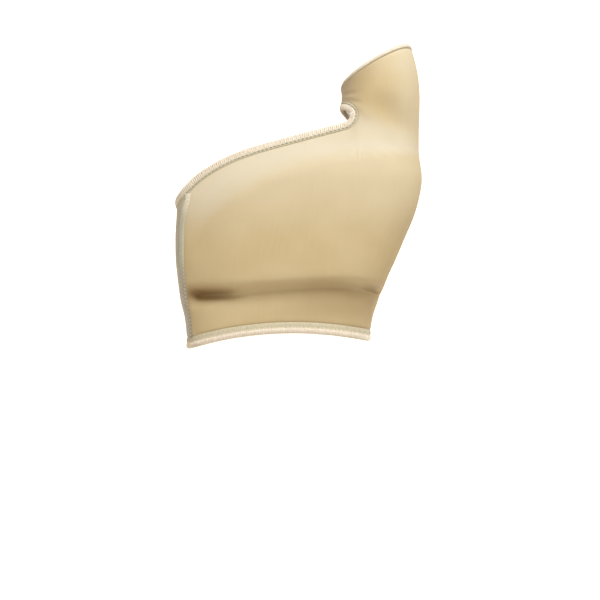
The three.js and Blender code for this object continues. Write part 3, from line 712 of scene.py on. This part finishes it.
# hem sizes in millimetres, used for the cloth's rims too
rearHem = {
    "width": 4.4, "thick": 1.8, "sides": 28, "flat": 1.3, "roll": 2.1, "pitch": 1.5, "thread": 0.17,
    "tickPitch": 1.9, "tickLength": 1.7, "tickThread": 0.13, "tickRise": 0.1, "outerShade": 0.0,
}
openingHem = {
    "width": 3.2, "thick": 1.9, "sides": 18, "flat": 1.5, "roll": 2.2, "pitch": 1.7, "thread": 0.27,
    "dash": 1.2, "dashThread": 0.26, "dashAt": 0.45, "dashRise": 0.12, "outerShade": 0.8,
}
toeHem = {
    "width": 1.5, "thick": 1.45, "sides": 12, "flat": 1.3, "roll": 1.0, "pitch": 1.3, "thread": 0.1,
    "dash": 0.85, "dashThread": 0.1, "dashAt": 0.2, "dashRise": 0.12, "outerShade": 0.0,
}
sewing = {  # the same on all hems
    "overlap": 0.3, "square": 0.6, "rollEdge": 0.45, "ripple": 0.22, "rimFrom": 0.9, "rimDraw": 0.16,
    "shade": (9.0, -6.0), "rollSteps": 4, "windSteps": 14, "windSquare": 0.7, "windOut": 0.1, "windUp": 0.3,
    "stitchSteps": 12, "stitchPoints": 5, "stitchSink": 0.9, "threadSides": 6,
}


def ringFaces(ids, heights, turns):  # faces between rows of points, with their UV in stitches
    beside = (np.arange(ids.shape[1]) + 1) % ids.shape[1]
    quads = np.stack([ids[:-1], ids[:-1][:, beside], ids[1:][:, beside], ids[1:]], axis=-1)
    u = np.broadcast_to(np.stack([turns[:-1], turns[1:], turns[1:], turns[:-1]], axis=-1), quads.shape)
    v = np.stack([heights[:-1], heights[:-1][:, beside], heights[1:][:, beside], heights[1:]], axis=-1)
    corners = np.stack([u, v / knitLook["courseHeight"]], axis=-1)
    return quads.reshape(-1, 4), corners.reshape(-1, 2)


def sleeveSurface():
    sole, share, toeShare = footColumns()
    count = len(sole)
    shared = ~np.isnan(toeShare)
    start, middle, openEnd, joinEnd = (
        crossing(sole, share, toeShare, line) for line in (rearLevel, creaseLevel, openingLevel, joinLevel))
    end = np.where(shared, joinEnd, openEnd)
    band = 1 - (1 - np.arange(cloth["bandRows"]) / cloth["bandRows"]) ** cloth["rowCrowding"]
    ball = (np.arange(cloth["ballRows"] + 1) / cloth["ballRows"]) ** cloth["rowCrowding"]
    levels = np.concatenate([mix(start, middle, band[:, None]), mix(middle, end, ball[:, None])])
    foot3 = pointGrid(sole, share, toeShare, levels)
    rows = len(levels)

    # wales counted round the wide tube at the ball, and on round the web
    ring = pointGrid(sole, share, np.full(count, np.nan), np.full((1, count), foot["ballHeight"]))[0]
    steps = np.linalg.norm(np.roll(ring, -1, 0) - ring, axis=1)
    around = np.concatenate([[0], np.cumsum(steps)])
    wales = around / around[-1] * round(around[-1] / knitLook["waleWidth"])

    webSole, webShare, webToe, webStart = webColumns()
    tubeOf = np.flatnonzero(shared)
    tubeSole = np.concatenate([sole[tubeOf], webSole])
    tubeShare = np.concatenate([share[tubeOf], webShare])
    tubeToe = np.concatenate([toeShare[tubeOf], webToe])
    tubeStart = np.concatenate([end[tubeOf], webStart])
    top = crossing(tubeSole, tubeShare, tubeToe, toeTopLevel)
    tubeLevels = mix(tubeStart, top, (np.arange(cloth["tubeRows"] + 1) / cloth["tubeRows"])[:, None])
    tube3 = pointGrid(tubeSole, tubeShare, tubeToe, tubeLevels)
    webWales = round(math.pi * web["radius"] * cloth["webEase"] / knitLook["waleWidth"])
    lastWale, firstWale = wales[tubeOf[-1]], wales[tubeOf[0]]
    closing = firstWale + round(lastWale - firstWale + webWales)
    webPart = mix(lastWale, closing, np.arange(1, len(webSole) + 1) / (len(webSole) + 1))
    tubeWales = np.concatenate([wales[tubeOf], webPart, [closing]])

    # one list of points: the wide tube's rows, then the narrow one's, which shares its first row
    points = np.concatenate([foot3.reshape(-1, 3), tube3.reshape(-1, 3)])
    footIds = np.arange(rows * count).reshape(rows, count)
    tubeIds = rows * count + np.arange(tube3.shape[0] * tube3.shape[1]).reshape(tube3.shape[:2])
    tubeIds[0, :len(tubeOf)] = footIds[-1, tubeOf]

    footFaces, footCorners = ringFaces(footIds, levels, wales)
    tubeFaces, tubeCorners = ringFaces(tubeIds, tubeLevels, tubeWales)
    faces = np.concatenate([footFaces, tubeFaces])
    used = np.unique(faces)
    renumber = np.zeros(len(points), dtype=int)
    renumber[used] = np.arange(len(used))
    aroundWeb = [footIds[-1, :tubeOf[0] + 1], tubeIds[0, len(tubeOf):][::-1], footIds[-1, tubeOf[-1]:]]
    rims = {"rear": footIds[0], "opening": np.concatenate(aroundWeb)[::-1], "toe": tubeIds[-1][::-1]}
    rims = {label: renumber[ring] for label, ring in rims.items()}
    return points[used], renumber[faces], np.concatenate([footCorners, tubeCorners]), rims


def normalsOf(points, quads):
    a, b, c, d = (points[quads[:, i]] for i in range(4))
    across = np.cross(c - a, d - b)
    normals = np.zeros_like(points)
    for i in range(4):
        np.add.at(normals, quads[:, i], across)
    return unit(normals)


# where the knit's colour carries painted highlight and painted shade: pairs are the start and the length of a
# change, in millimetres
pale = {
    "toe": (-7.5, 10.0), "web": (-6.0, 8.0), "padTop": (-14.0, 7.0), "crease": (18.0, 24.0),
    "root": 0.9, "rootLeast": 0.45, "ridge": 0.35, "ridgeWidth": 1.8, "ridgeDrop": (1.0, 9.6),
    "ridgeStart": (-34.0, 12.0), "ridgeRun": (-24.0, 67.0),
    "toeSide": (0.0, 12.0), "side": 0.5, "toeTop": (109.0, 8.0), "top": 0.2,
}
paintedShadeAreas = {
    "sole": (-8.0, -8.0), "outerEnd": (0.0, -20.0), "innerEnd": (4.0, 10.0), "outer": 0.95, "inner": 0.6,
    "coreRise": (1.5, 0.3), "coreWidth": (1.8, 3.6), "seam": (-3.0, 1.5),
    "edge": (4.0, -3.0), "below": (1.0, -6.0), "belowLeast": 0.55, "tail": (-17.0, 10.0), "tailLeast": 0.25,
    "across": (-12.0, 34.0), "band": (0.1, 0.5), "innerSide": (28.0, 9.0), "innerLeast": 0.6,
    "toeFoot": (2.0, 6.0), "toeSide": (4.0, -14.0), "toe": 0.12, "toeRim": (14.0, -14.0), "rim": 0.28,
}
paintedSideShade = {"seam": (0.5, -1.5), "instep": (7.0, -11.0)}


def paintedHighlightAt(points):  # painted highlight: paler over the ball's upper part and above the pad's outline, along its top edge, and on the narrow tube's inner side and top
    x, z = points[:, 0], points[:, 2]
    fromValley = z - joinLevel(x, None, np.full(len(x), True)) - toe["valleyRise"]
    fromTop = z - padTopLevel(x)
    onRoot = mix(pale["rootLeast"], 1.0, grow(fromTop, pale["padTop"]))
    onRoot = onRoot * grow(z - creaseLevel(x), pale["crease"])
    drop = mix(*pale["ridgeDrop"], (x - pale["ridgeRun"][0]) / pale["ridgeRun"][1])
    ridge = hump(fromTop + drop, pale["ridgeWidth"]) * grow(x, pale["ridgeStart"])
    onFoot = np.minimum(1, pale["root"] * onRoot + pale["ridge"] * ridge)
    onSide = pale["side"] * grow(x - toe["shift"], pale["toeSide"]) + pale["top"] * grow(z, pale["toeTop"])
    return mix(onFoot, np.minimum(1, onSide), grow(fromValley, pale["toe"]) * grow(x - webEdge, pale["web"]))


def paintedShadeAt(points):  # painted shade: darker in the crease, in the band below it, and on the narrow tube's outer side beside the web, most near its rim
    x, y, z = points.T
    fromCrease = z - creaseLevel(x)
    outer = grow(x - crease["foldEnd"], paintedShadeAreas["outerEnd"])
    inner = grow(x - crease["innerEnd"], paintedShadeAreas["innerEnd"])
    band = grow(fromCrease, paintedShadeAreas["edge"])
    band = band * mix(paintedShadeAreas["belowLeast"], 1.0, grow(fromCrease, paintedShadeAreas["below"]))
    band = band * mix(paintedShadeAreas["tailLeast"], 1.0, grow(fromCrease, paintedShadeAreas["tail"]))
    band = band * mix(1.0, paintedShadeAreas["innerLeast"], grow(x, paintedShadeAreas["innerSide"]))
    band = band * mix(*paintedShadeAreas["band"], grow(x, paintedShadeAreas["across"]))
    core = hump(fromCrease - mix(*paintedShadeAreas["coreRise"], outer), mix(*paintedShadeAreas["coreWidth"], outer))
    core = core * np.maximum(paintedShadeAreas["outer"] * outer, paintedShadeAreas["inner"] * inner)
    atCrease = np.maximum(band, core) * pastSeam(x, z, paintedShadeAreas["seam"])
    fromJoin = z - joinLevel(x, None, np.full(len(x), True))
    onToe = grow(fromJoin, paintedShadeAreas["toeFoot"]) * grow(x - toe["shift"], paintedShadeAreas["toeSide"])
    nearRim = grow(toeTopLevel(x, y, None) - z, paintedShadeAreas["toeRim"])
    onToe = onToe * (paintedShadeAreas["toe"] + paintedShadeAreas["rim"] * nearRim)
    return np.clip(grow(y, paintedShadeAreas["sole"]) * (atCrease + onToe), 0, 1)


def paintedSideShadeAt(points):  # painted shade and reflection: greyer just beyond the seam, on the instep side
    x, y, z = points.T
    section = footSection(z)
    beyond = grow(x - section["outer"] - cloth["seamMiddle"], paintedSideShade["seam"])
    return beyond * grow(y - section["outerSide"], paintedSideShade["instep"])


bridge = {  # the cloth spans the hollow between the web and the pad
    "middle": 1.0, "reach": (13.0, -13.0), "foot": (79.0, 6.0), "rim": (0.6, 5.0), "sole": (-10.0, -4.0),
    "rounds": 60, "step": 0.6,
}


def eased(points, faces):  # each point moves towards the middle of its neighbours
    x, y, z = points.T
    fromRim = openingLevel(np.minimum(x, webEdge), None, np.full(len(x), True)) - z
    weight = grow(np.abs(x - webEdge - bridge["middle"]), bridge["reach"]) * grow(z, bridge["foot"])
    weight = bridge["step"] * weight * grow(fromRim, bridge["rim"]) * grow(y, bridge["sole"])
    ends = np.concatenate([faces, np.roll(faces, 1, axis=1)]).ravel()
    others = np.concatenate([np.roll(faces, 1, axis=1), faces]).ravel()
    count = np.maximum(1, np.bincount(ends, minlength=len(points)))[:, None]
    for _ in range(bridge["rounds"]):
        near = np.stack([np.bincount(ends, points[others, k], len(points)) for k in range(3)], axis=1)
        points = mix(points, near / count, weight[:, None])
    return points


sleevePoints, clothFaces, clothCorners, rims = sleeveSurface()
sleevePoints = eased(sleevePoints, clothFaces)
sleeveNormals = normalsOf(sleevePoints, clothFaces)
# vertex attributes for painted highlight, painted shade and, as edge, painted shade and reflection beyond the
# side seam
tints = {"paintedHighlight": paintedHighlightAt(sleevePoints), "paintedShade": paintedShadeAt(sleevePoints), "edge": paintedSideShadeAt(sleevePoints)}
sleeve = makePiece("sleeveCloth", sleevePoints, clothFaces, knit, clothCorners, tints)
wall = sleeve.modifiers.new("wall", "SOLIDIFY")
wall.thickness = cloth["wall"] * mm
wall.offset = -1
wall.use_even_offset = False
fine = sleeve.modifiers.new("fine", "SUBSURF")
fine.levels = fine.render_levels = 1
print(f"sleeve: {len(clothFaces)} faces before its wall")


def stitchCount(rim, pitch):
    points = sleevePoints[rim]
    return round(np.linalg.norm(np.roll(points, -1, 0) - points, axis=1).sum() / pitch)


def soften(values):
    return (np.roll(values, 1, 0) + 2 * values + np.roll(values, -1, 0)) / 4


def rimPath(rim, count):  # evenly spaced places along a rim, with directions off the cloth and out
    points, normals = sleevePoints[rim], sleeveNormals[rim]
    along = unit(np.roll(points, -1, 0) - np.roll(points, 1, 0))
    across = unit(np.cross(along, normals))
    out = unit(np.cross(across, along))
    steps = np.linalg.norm(np.roll(points, -1, 0) - points, axis=1)
    length = np.concatenate([[0], np.cumsum(steps)])
    wanted = length[-1] * np.arange(count) / count
    places, across, out = (
        valuesAt(wanted, length, np.append(values, values[:1], axis=0)) for values in (points, across, out))
    return places, unit(soften(soften(across))), unit(soften(soften(out))), np.append(wanted, length[-1])


def makeRoll(name, rim, hem):
    # the hem's flat part next to the cloth, and its soft roll along the edge
    count = stitchCount(rim, hem["pitch"]) * sewing["rollSteps"]
    places, across, out, lengths = rimPath(rim, count)
    profile = roundProfile(hem["width"] + sewing["overlap"], 1.0, hem["sides"], sewing["square"])
    share = profile[:, 0] / hem["width"] + 0.5
    onRoll = smooth((profile[:, 0] - hem["width"] / 2 + hem["roll"]) / sewing["rollEdge"] + 0.5)
    profile[:, 1] *= mix(hem["flat"], hem["thick"], onRoll)
    drawn = (1 - np.cos(2 * math.pi * np.arange(count) / sewing["rollSteps"]))[:, None] / 2
    rings = np.repeat(profile[None], count, axis=0)
    rings[..., 1] *= mix(1, 1 - sewing["ripple"] * drawn, onRoll[None])
    rings[..., 0] -= np.where(share > sewing["rimFrom"], sewing["rimDraw"], 0.0) * drawn
    middle = places + across * (hem["width"] - sewing["overlap"]) / 2 - out * cloth["wall"] / 2
    points, faces = sweep(middle, across, out, rings)
    corners = sweepCorners(faces, lengths, hem["sides"])
    # painted shade: the opening hem's cream gives way to the knit colour near the little-toe side
    shaded = 1 - hem["outerShade"] * grow(points[:, 0] - outerEdge, sewing["shade"])
    piece = makePiece(name, points, faces, hemCloth, corners, {"creamAndLight": np.tile(onRoll, count) * shaded})
    soft = piece.modifiers.new("soft", "SUBSURF")
    soft.levels = soft.render_levels = 1
    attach(piece, "root")
    return piece


def threadTube(paths, outs, radius, closed=False):  # a round thread along each path
    points, faces, corners = [], [], []
    sides = sewing["threadSides"]
    profile = roundProfile(2 * radius, 2 * radius, sides, 1.0)
    for path, out in zip(paths, outs):
        steps = np.linalg.norm(np.diff(path, axis=0, append=path[:1]), axis=1)
        lengths = np.concatenate([[0], np.cumsum(steps)])
        along = np.roll(path, -1, 0) - np.roll(path, 1, 0)
        if not closed:
            along[0], along[-1] = path[1] - path[0], path[-1] - path[-2]
        aside = unit(np.cross(unit(along), out))
        square = unit(np.cross(aside, unit(along)))
        made, ends = sweep(path, aside, square, profile, closed)
        tubes = [face for face in ends if len(face) == 4]
        base = sum(len(part) for part in points)
        points.append(made)
        faces += [[i + base for i in face] for face in ends]
        corners += sweepCorners(tubes, lengths, sides, closed)
        corners += [(0.0, 0.0)] * sum(len(cap) for cap in ends[len(tubes):])
    return np.concatenate(points), faces, corners


def wrapThreads(name, rim, hem):  # two threads wound round the hem, a turn for each stitch
    perTurn, square = sewing["windSteps"], sewing["windSquare"]
    count = stitchCount(rim, hem["pitch"]) * perTurn
    places, across, out, _ = rimPath(rim, count)
    middle = places + across * (hem["width"] - hem["roll"] / 2) - out * cloth["wall"] / 2
    reach = hem["roll"] / 2 + sewing["windOut"] * hem["thread"]
    rise = hem["thick"] / 2 + sewing["windUp"] * hem["thread"]
    paths, outs = [], []
    for phase in (0, math.pi):
        angle = (2 * math.pi * np.arange(count) / perTurn + phase)[:, None]
        aside, up = reach * bend(np.cos(angle), square), rise * bend(np.sin(angle), square)
        paths.append(middle + across * aside + out * up)
        outs.append(unit(across * np.cos(angle) + out * np.sin(angle)))
    points, faces, corners = threadTube(paths, outs, hem["thread"], closed=True)
    piece = makePiece(name, points, faces, thread, corners)
    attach(piece, "root")
    return piece


def stitchRow(name, rim, aside, length, pitch, rise, radius, material, turned=False):
    # a row of short straight stitches along a rim, or across it where turned
    steps = sewing["stitchSteps"]
    count = stitchCount(rim, pitch)
    places, across, out, _ = rimPath(rim, count * steps)
    t = np.linspace(-0.5, 0.5, sewing["stitchPoints"])
    dip = rise - sewing["stitchSink"] * radius * (2 * np.abs(t)) ** 3
    paths, outs = [], []
    for first in range(0, count * steps, steps):
        if turned:
            span = np.full(len(t), first)
            shift = aside + t * length
        else:
            span = (first + np.round(t * length / pitch * steps).astype(int)) % (count * steps)
            shift = np.full(len(t), aside)
        paths.append(places[span] + across[span] * shift[:, None] + out[span] * dip[:, None])
        outs.append(out[span])
    points, faces, corners = threadTube(paths, outs, radius)
    piece = makePiece(name, points, faces, material, corners)
    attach(piece, "root")
    return piece


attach(sleeve, "root")
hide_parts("sleeve")

rearRoll = makeRoll("rearHemRoll", rims["rear"], rearHem)
openingRoll = makeRoll("openingHemRoll", rims["opening"], openingHem)
toeRoll = makeRoll("bigToeHemRoll", rims["toe"], toeHem)
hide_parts("rear_hem")
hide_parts("toe_opening_hem")
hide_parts("big_toe_hem")
windings = [
    wrapThreads("rearHemThreads", rims["rear"], rearHem),
    wrapThreads("openingHemThreads", rims["opening"], openingHem),
    wrapThreads("bigToeHemThreads", rims["toe"], toeHem),
]
tickMiddle = rearHem["width"] - rearHem["roll"] - rearHem["tickLength"] / 2 - rearHem["tickRise"]
ticks = stitchRow(
    "rearHemTicks", rims["rear"], tickMiddle, rearHem["tickLength"], rearHem["tickPitch"],
    rearHem["tickRise"], rearHem["tickThread"], seamThread, turned=True)
# needle-line stitches, in a dark thread that paints the shade along the hem's inner border
dashes = [
    stitchRow(
        name, rims[rim], hem["dashAt"], hem["dash"], hem["pitch"],
        hem["dashRise"], hem["dashThread"], needleShadeThread)
    for name, rim, hem in (
        ("openingHemNeedleLine", "opening", openingHem), ("bigToeHemNeedleLine", "toe", toeHem))
]
print("hems made")


# side seam, in millimetres
sideSeam = {
    "turn": 2.2, "turnLength": 8.0, "rearTurn": 1.0, "rearLength": 25.0, "past": 0.3, "beside": 0.01,
    "width": 2.3, "thick": 0.9, "steps": 150, "sides": 12, "bright": (20.0, 25.0),
    "brightTop": (14.0, -14.0), "pitch": 1.6, "thread": 0.12, "toothSteps": 4, "reach": 0.47,
    "flatness": 0.92,
}


def seamPath():
    rearAt = np.array([-foot["rearWidth"] / 2])
    openingAt = np.array([outerEdge + cloth["seamMiddle"] + sideSeam["turn"]])
    low = float(rearLevel(rearAt, None, None)[0]) - sideSeam["past"]
    high = float(openingLevel(openingAt, None, np.array([True]))[0]) + sideSeam["past"]
    z = np.linspace(low, high, sideSeam["steps"] + 1)
    section = footSection(z)
    turn = sideSeam["turn"] * hump(high - z, sideSeam["turnLength"])
    turn = turn - sideSeam["rearTurn"] * hump(z, sideSeam["rearLength"])
    sole = np.full(len(z), True)
    share = shareAt(section, sole, section["outer"] + cloth["seamMiddle"] + turn)
    none = np.full(len(z), np.nan)
    middle = clothPoints(sole, share, none, z)
    beside = clothPoints(sole, share + sideSeam["beside"], none, z)
    along = unit(np.gradient(middle, axis=0))
    out = unit(np.cross(unit(beside - middle), along))
    return middle, unit(np.cross(along, out)), out


def makeSeam():
    middle, across, out = seamPath()
    lengths = np.concatenate([[0], np.cumsum(np.linalg.norm(np.diff(middle, axis=0), axis=1))])
    profile = roundProfile(sideSeam["width"], sideSeam["thick"], sideSeam["sides"])
    points, faces = sweep(middle, across, out, profile, closed=False)
    z = middle[:, 2]
    # paler towards the top as a painted highlight, grey low down as painted shade
    creamAndLight = (grow(z, sideSeam["bright"]) + grow(z[-1] - z, sideSeam["brightTop"])) / 2
    seamLightShares = {"creamAndLight": np.repeat(creamAndLight, sideSeam["sides"])}
    piece = makePiece("sideSeamStrip", points, faces, seamTape, None, seamLightShares)
    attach(piece, "root")
    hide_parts("side_seam")

    # a zigzag thread over the strip, a tooth for each stitch
    steps = sideSeam["toothSteps"]
    teeth = round(lengths[-1] / sideSeam["pitch"]) * 2
    t = np.arange(teeth * steps + 1) / steps
    wanted = lengths[-1] * t / teeth
    middle, across, out = (valuesAt(wanted, lengths, values) for values in (middle, across, out))
    swing = np.sin((np.abs((t % 2) - 1) * 2 - 1) * math.pi / 2)
    over = sideSeam["thick"] / 2 * np.sqrt(1 - np.abs(swing * sideSeam["flatness"]) ** 3)
    aside = swing * sideSeam["width"] * sideSeam["reach"]
    path = middle + across * aside[:, None] + out * over[:, None]
    points, faces, corners = threadTube([path], [unit(out)], sideSeam["thread"])
    threads = makePiece("sideSeamThread", points, faces, seamThread, corners)
    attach(threads, "root")
    return piece, threads


seamStrip, seamThreads = makeSeam()
print("side seam made")


# gel pad under the ball, in millimetres
ballPad = {
    "columns": 44, "rows": 28, "inset": 5.0, "rim": 0.8, "clear": 0.25, "ease": 0.04, "corner": 2.4,
    "fromCrease": 5.0, "fromTop": 11.1, "onInstep": 0.75, "riseAcross": 0.18, "riseAlong": 0.22,
}


def padColumns():
    level = np.array([foot["ballHeight"] / 2])
    place = np.array([bulge["inner"] - bulge["span"] + ballPad["inset"]])
    start = shareAt(footSection(level), np.array([True]), place)[0]
    total = 1 - start + bulge["wrap"] * ballPad["onInstep"]
    run = start + total * np.arange(ballPad["columns"] + 1) / ballPad["columns"]
    sole = run <= 1
    share = np.where(sole, run, 2 - run)
    half = np.where(sole, 0, 1)
    beyond = (share - footWeb[half]) / (1 - footWeb[half])
    return sole, share, np.where(beyond < 0, np.nan, mix(toeWeb[half], 1, beyond))


def makePad():
    sole, share, toeShare = padColumns()
    columns, rows = ballPad["columns"], ballPad["rows"]
    middle = clothPoints(sole, share, toeShare, np.full(columns + 1, foot["ballHeight"] / 2))
    corner = ballPad["ease"] * bulge["height"] * hump(np.arange(columns + 1), ballPad["corner"])
    low = creaseLevel(middle[:, 0]) + ballPad["fromCrease"] + corner
    high = crossing(sole, share, toeShare, padTopLevel) - ballPad["fromTop"]
    levels = mix(low, high, (np.arange(rows + 1) / rows)[:, None])
    points = pointGrid(sole, share, toeShare, levels).reshape(-1, 3)
    i, j = np.meshgrid(np.arange(rows), np.arange(columns), indexing="ij")
    first = i * (columns + 1) + j
    quads = np.stack([first, first + 1, first + columns + 2, first + columns + 1], axis=-1).reshape(-1, 4)
    normals = normalsOf(points, quads)
    across = np.tile(np.arange(columns + 1) / columns, rows + 1)
    along = np.repeat(np.arange(rows + 1) / rows, columns + 1)
    rise = smooth(np.minimum(across, 1 - across) / ballPad["riseAcross"])
    rise = rise * smooth(np.minimum(along, 1 - along) / ballPad["riseAlong"])
    near = cloth["wall"] + ballPad["clear"]
    deep = (ballPad["rim"] + (bulge["thickness"] - ballPad["rim"]) * rise)[:, None]
    count = len(points)
    shell = np.concatenate([points - normals * near, points - normals * (near + deep)])
    faces = quads.tolist() + (quads[:, ::-1] + count).tolist()
    grid = np.arange(count).reshape(rows + 1, columns + 1)
    edge = np.concatenate([grid[0, :-1], grid[:-1, -1], grid[-1, :0:-1], grid[:0:-1, 0]])
    for a, b in zip(edge, np.roll(edge, -1)):
        faces.append([b, a, a + count, b + count])
    piece = makePiece("ballPadGel", shell, faces, gel)
    soft = piece.modifiers.new("soft", "SUBSURF")
    soft.levels = soft.render_levels = 1
    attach(piece, "root")
    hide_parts("ball_pad")


makePad()
print("gel pad made")


# floor, back and light, in metres
studio = {
    "floor": -0.25, "radius": 2.2, "curve": 0.6, "wallHeight": 2.0, "middle": 0.1,
    "sides": 96, "floorRings": 8, "curveRings": 12, "glowFrom": -0.8, "glowTo": 1.2, "aim": (0.01, 0, 0.06),
    "roughness": 0.9, "sheen": 0.0, "gloss": 0.0,
    "paint": (0.9, 0.9, 0.9), "glow": 0.05, "backGlow": 0.6, "sky": 0.35, "tint": (1.0, 0.9, 0.76),
}
lamps = [  # name, place, size, power, colour
    ("keyLamp", (0.196, -0.369, 0.558), 0.3, 5.85, (0.90, 1.0, 1.14)),
    ("sideLamp", (-0.45, -0.5, 0.15), 0.4, 0.85, (0.95, 1.0, 1.08)),
]


def makeStudio():  # a pale floor that curves up into a round wall
    sides, curve, rings = studio["sides"], studio["curve"], studio["floorRings"]
    run = studio["radius"] - curve
    arc = np.linspace(0, math.pi / 2, studio["curveRings"] + 1)[1:]
    onFloor = np.linspace(studio["middle"], run, rings)
    reach = np.concatenate([[0.0], onFloor, run + curve * np.sin(arc), [studio["radius"]]])
    height = np.concatenate([np.zeros(rings + 1), curve * (1 - np.cos(arc)), [studio["wallHeight"]]])
    turn = np.linspace(0, 2 * math.pi, sides + 1)[:-1]
    level = np.repeat(height[:, None], sides, axis=1) + studio["floor"]
    points = np.stack([reach[:, None] * np.cos(turn), reach[:, None] * np.sin(turn), level], axis=-1)
    ids = np.arange(len(reach) * sides).reshape(-1, sides)
    beside = np.roll(ids, -1, axis=1)
    quads = np.stack([ids[:-1], ids[1:], beside[1:], beside[:-1]], axis=-1)
    paint, tree, shader = newMaterial("studioPaint", studio)
    shader.inputs["Base Color"].default_value = (*studio["paint"], 1)
    shader.inputs["Emission Color"].default_value = (*studio["tint"], 1)
    place = addNode(tree, "TexCoord").outputs["Object"]
    depth = addNode(tree, "SeparateXYZ", {"Vector": place}).outputs["Y"]
    glow = ramp(tree, depth, studio["glowFrom"], studio["glowTo"], studio["glow"], studio["backGlow"])
    tree.links.new(glow, shader.inputs["Emission Strength"])
    backdrop = makePiece("studioFloor", points.reshape(-1, 3) / mm, quads.reshape(-1, 4), paint)


def makeLamps():
    for name, place, size, power, colour in lamps:
        data = bpy.data.lights.new(name, "AREA")
        data.shape = "DISK"
        data.size, data.energy, data.color = size, power, colour
        light = bpy.data.objects.new(name, data)
        light.location = place
        aim = Vector(studio["aim"]) - light.location
        light.rotation_euler = aim.to_track_quat("-Z", "Y").to_euler()
        scene.collection.objects.link(light)
    world = bpy.data.worlds.new("paleSky")
    world.use_nodes = True
    background = world.node_tree.nodes["Background"]
    background.inputs["Color"].default_value = (*studio["tint"], 1)
    background.inputs["Strength"].default_value = studio["sky"]
    scene.world = world
    scene.view_settings.view_transform = "Standard"


makeStudio()
makeLamps()
print("studio made")
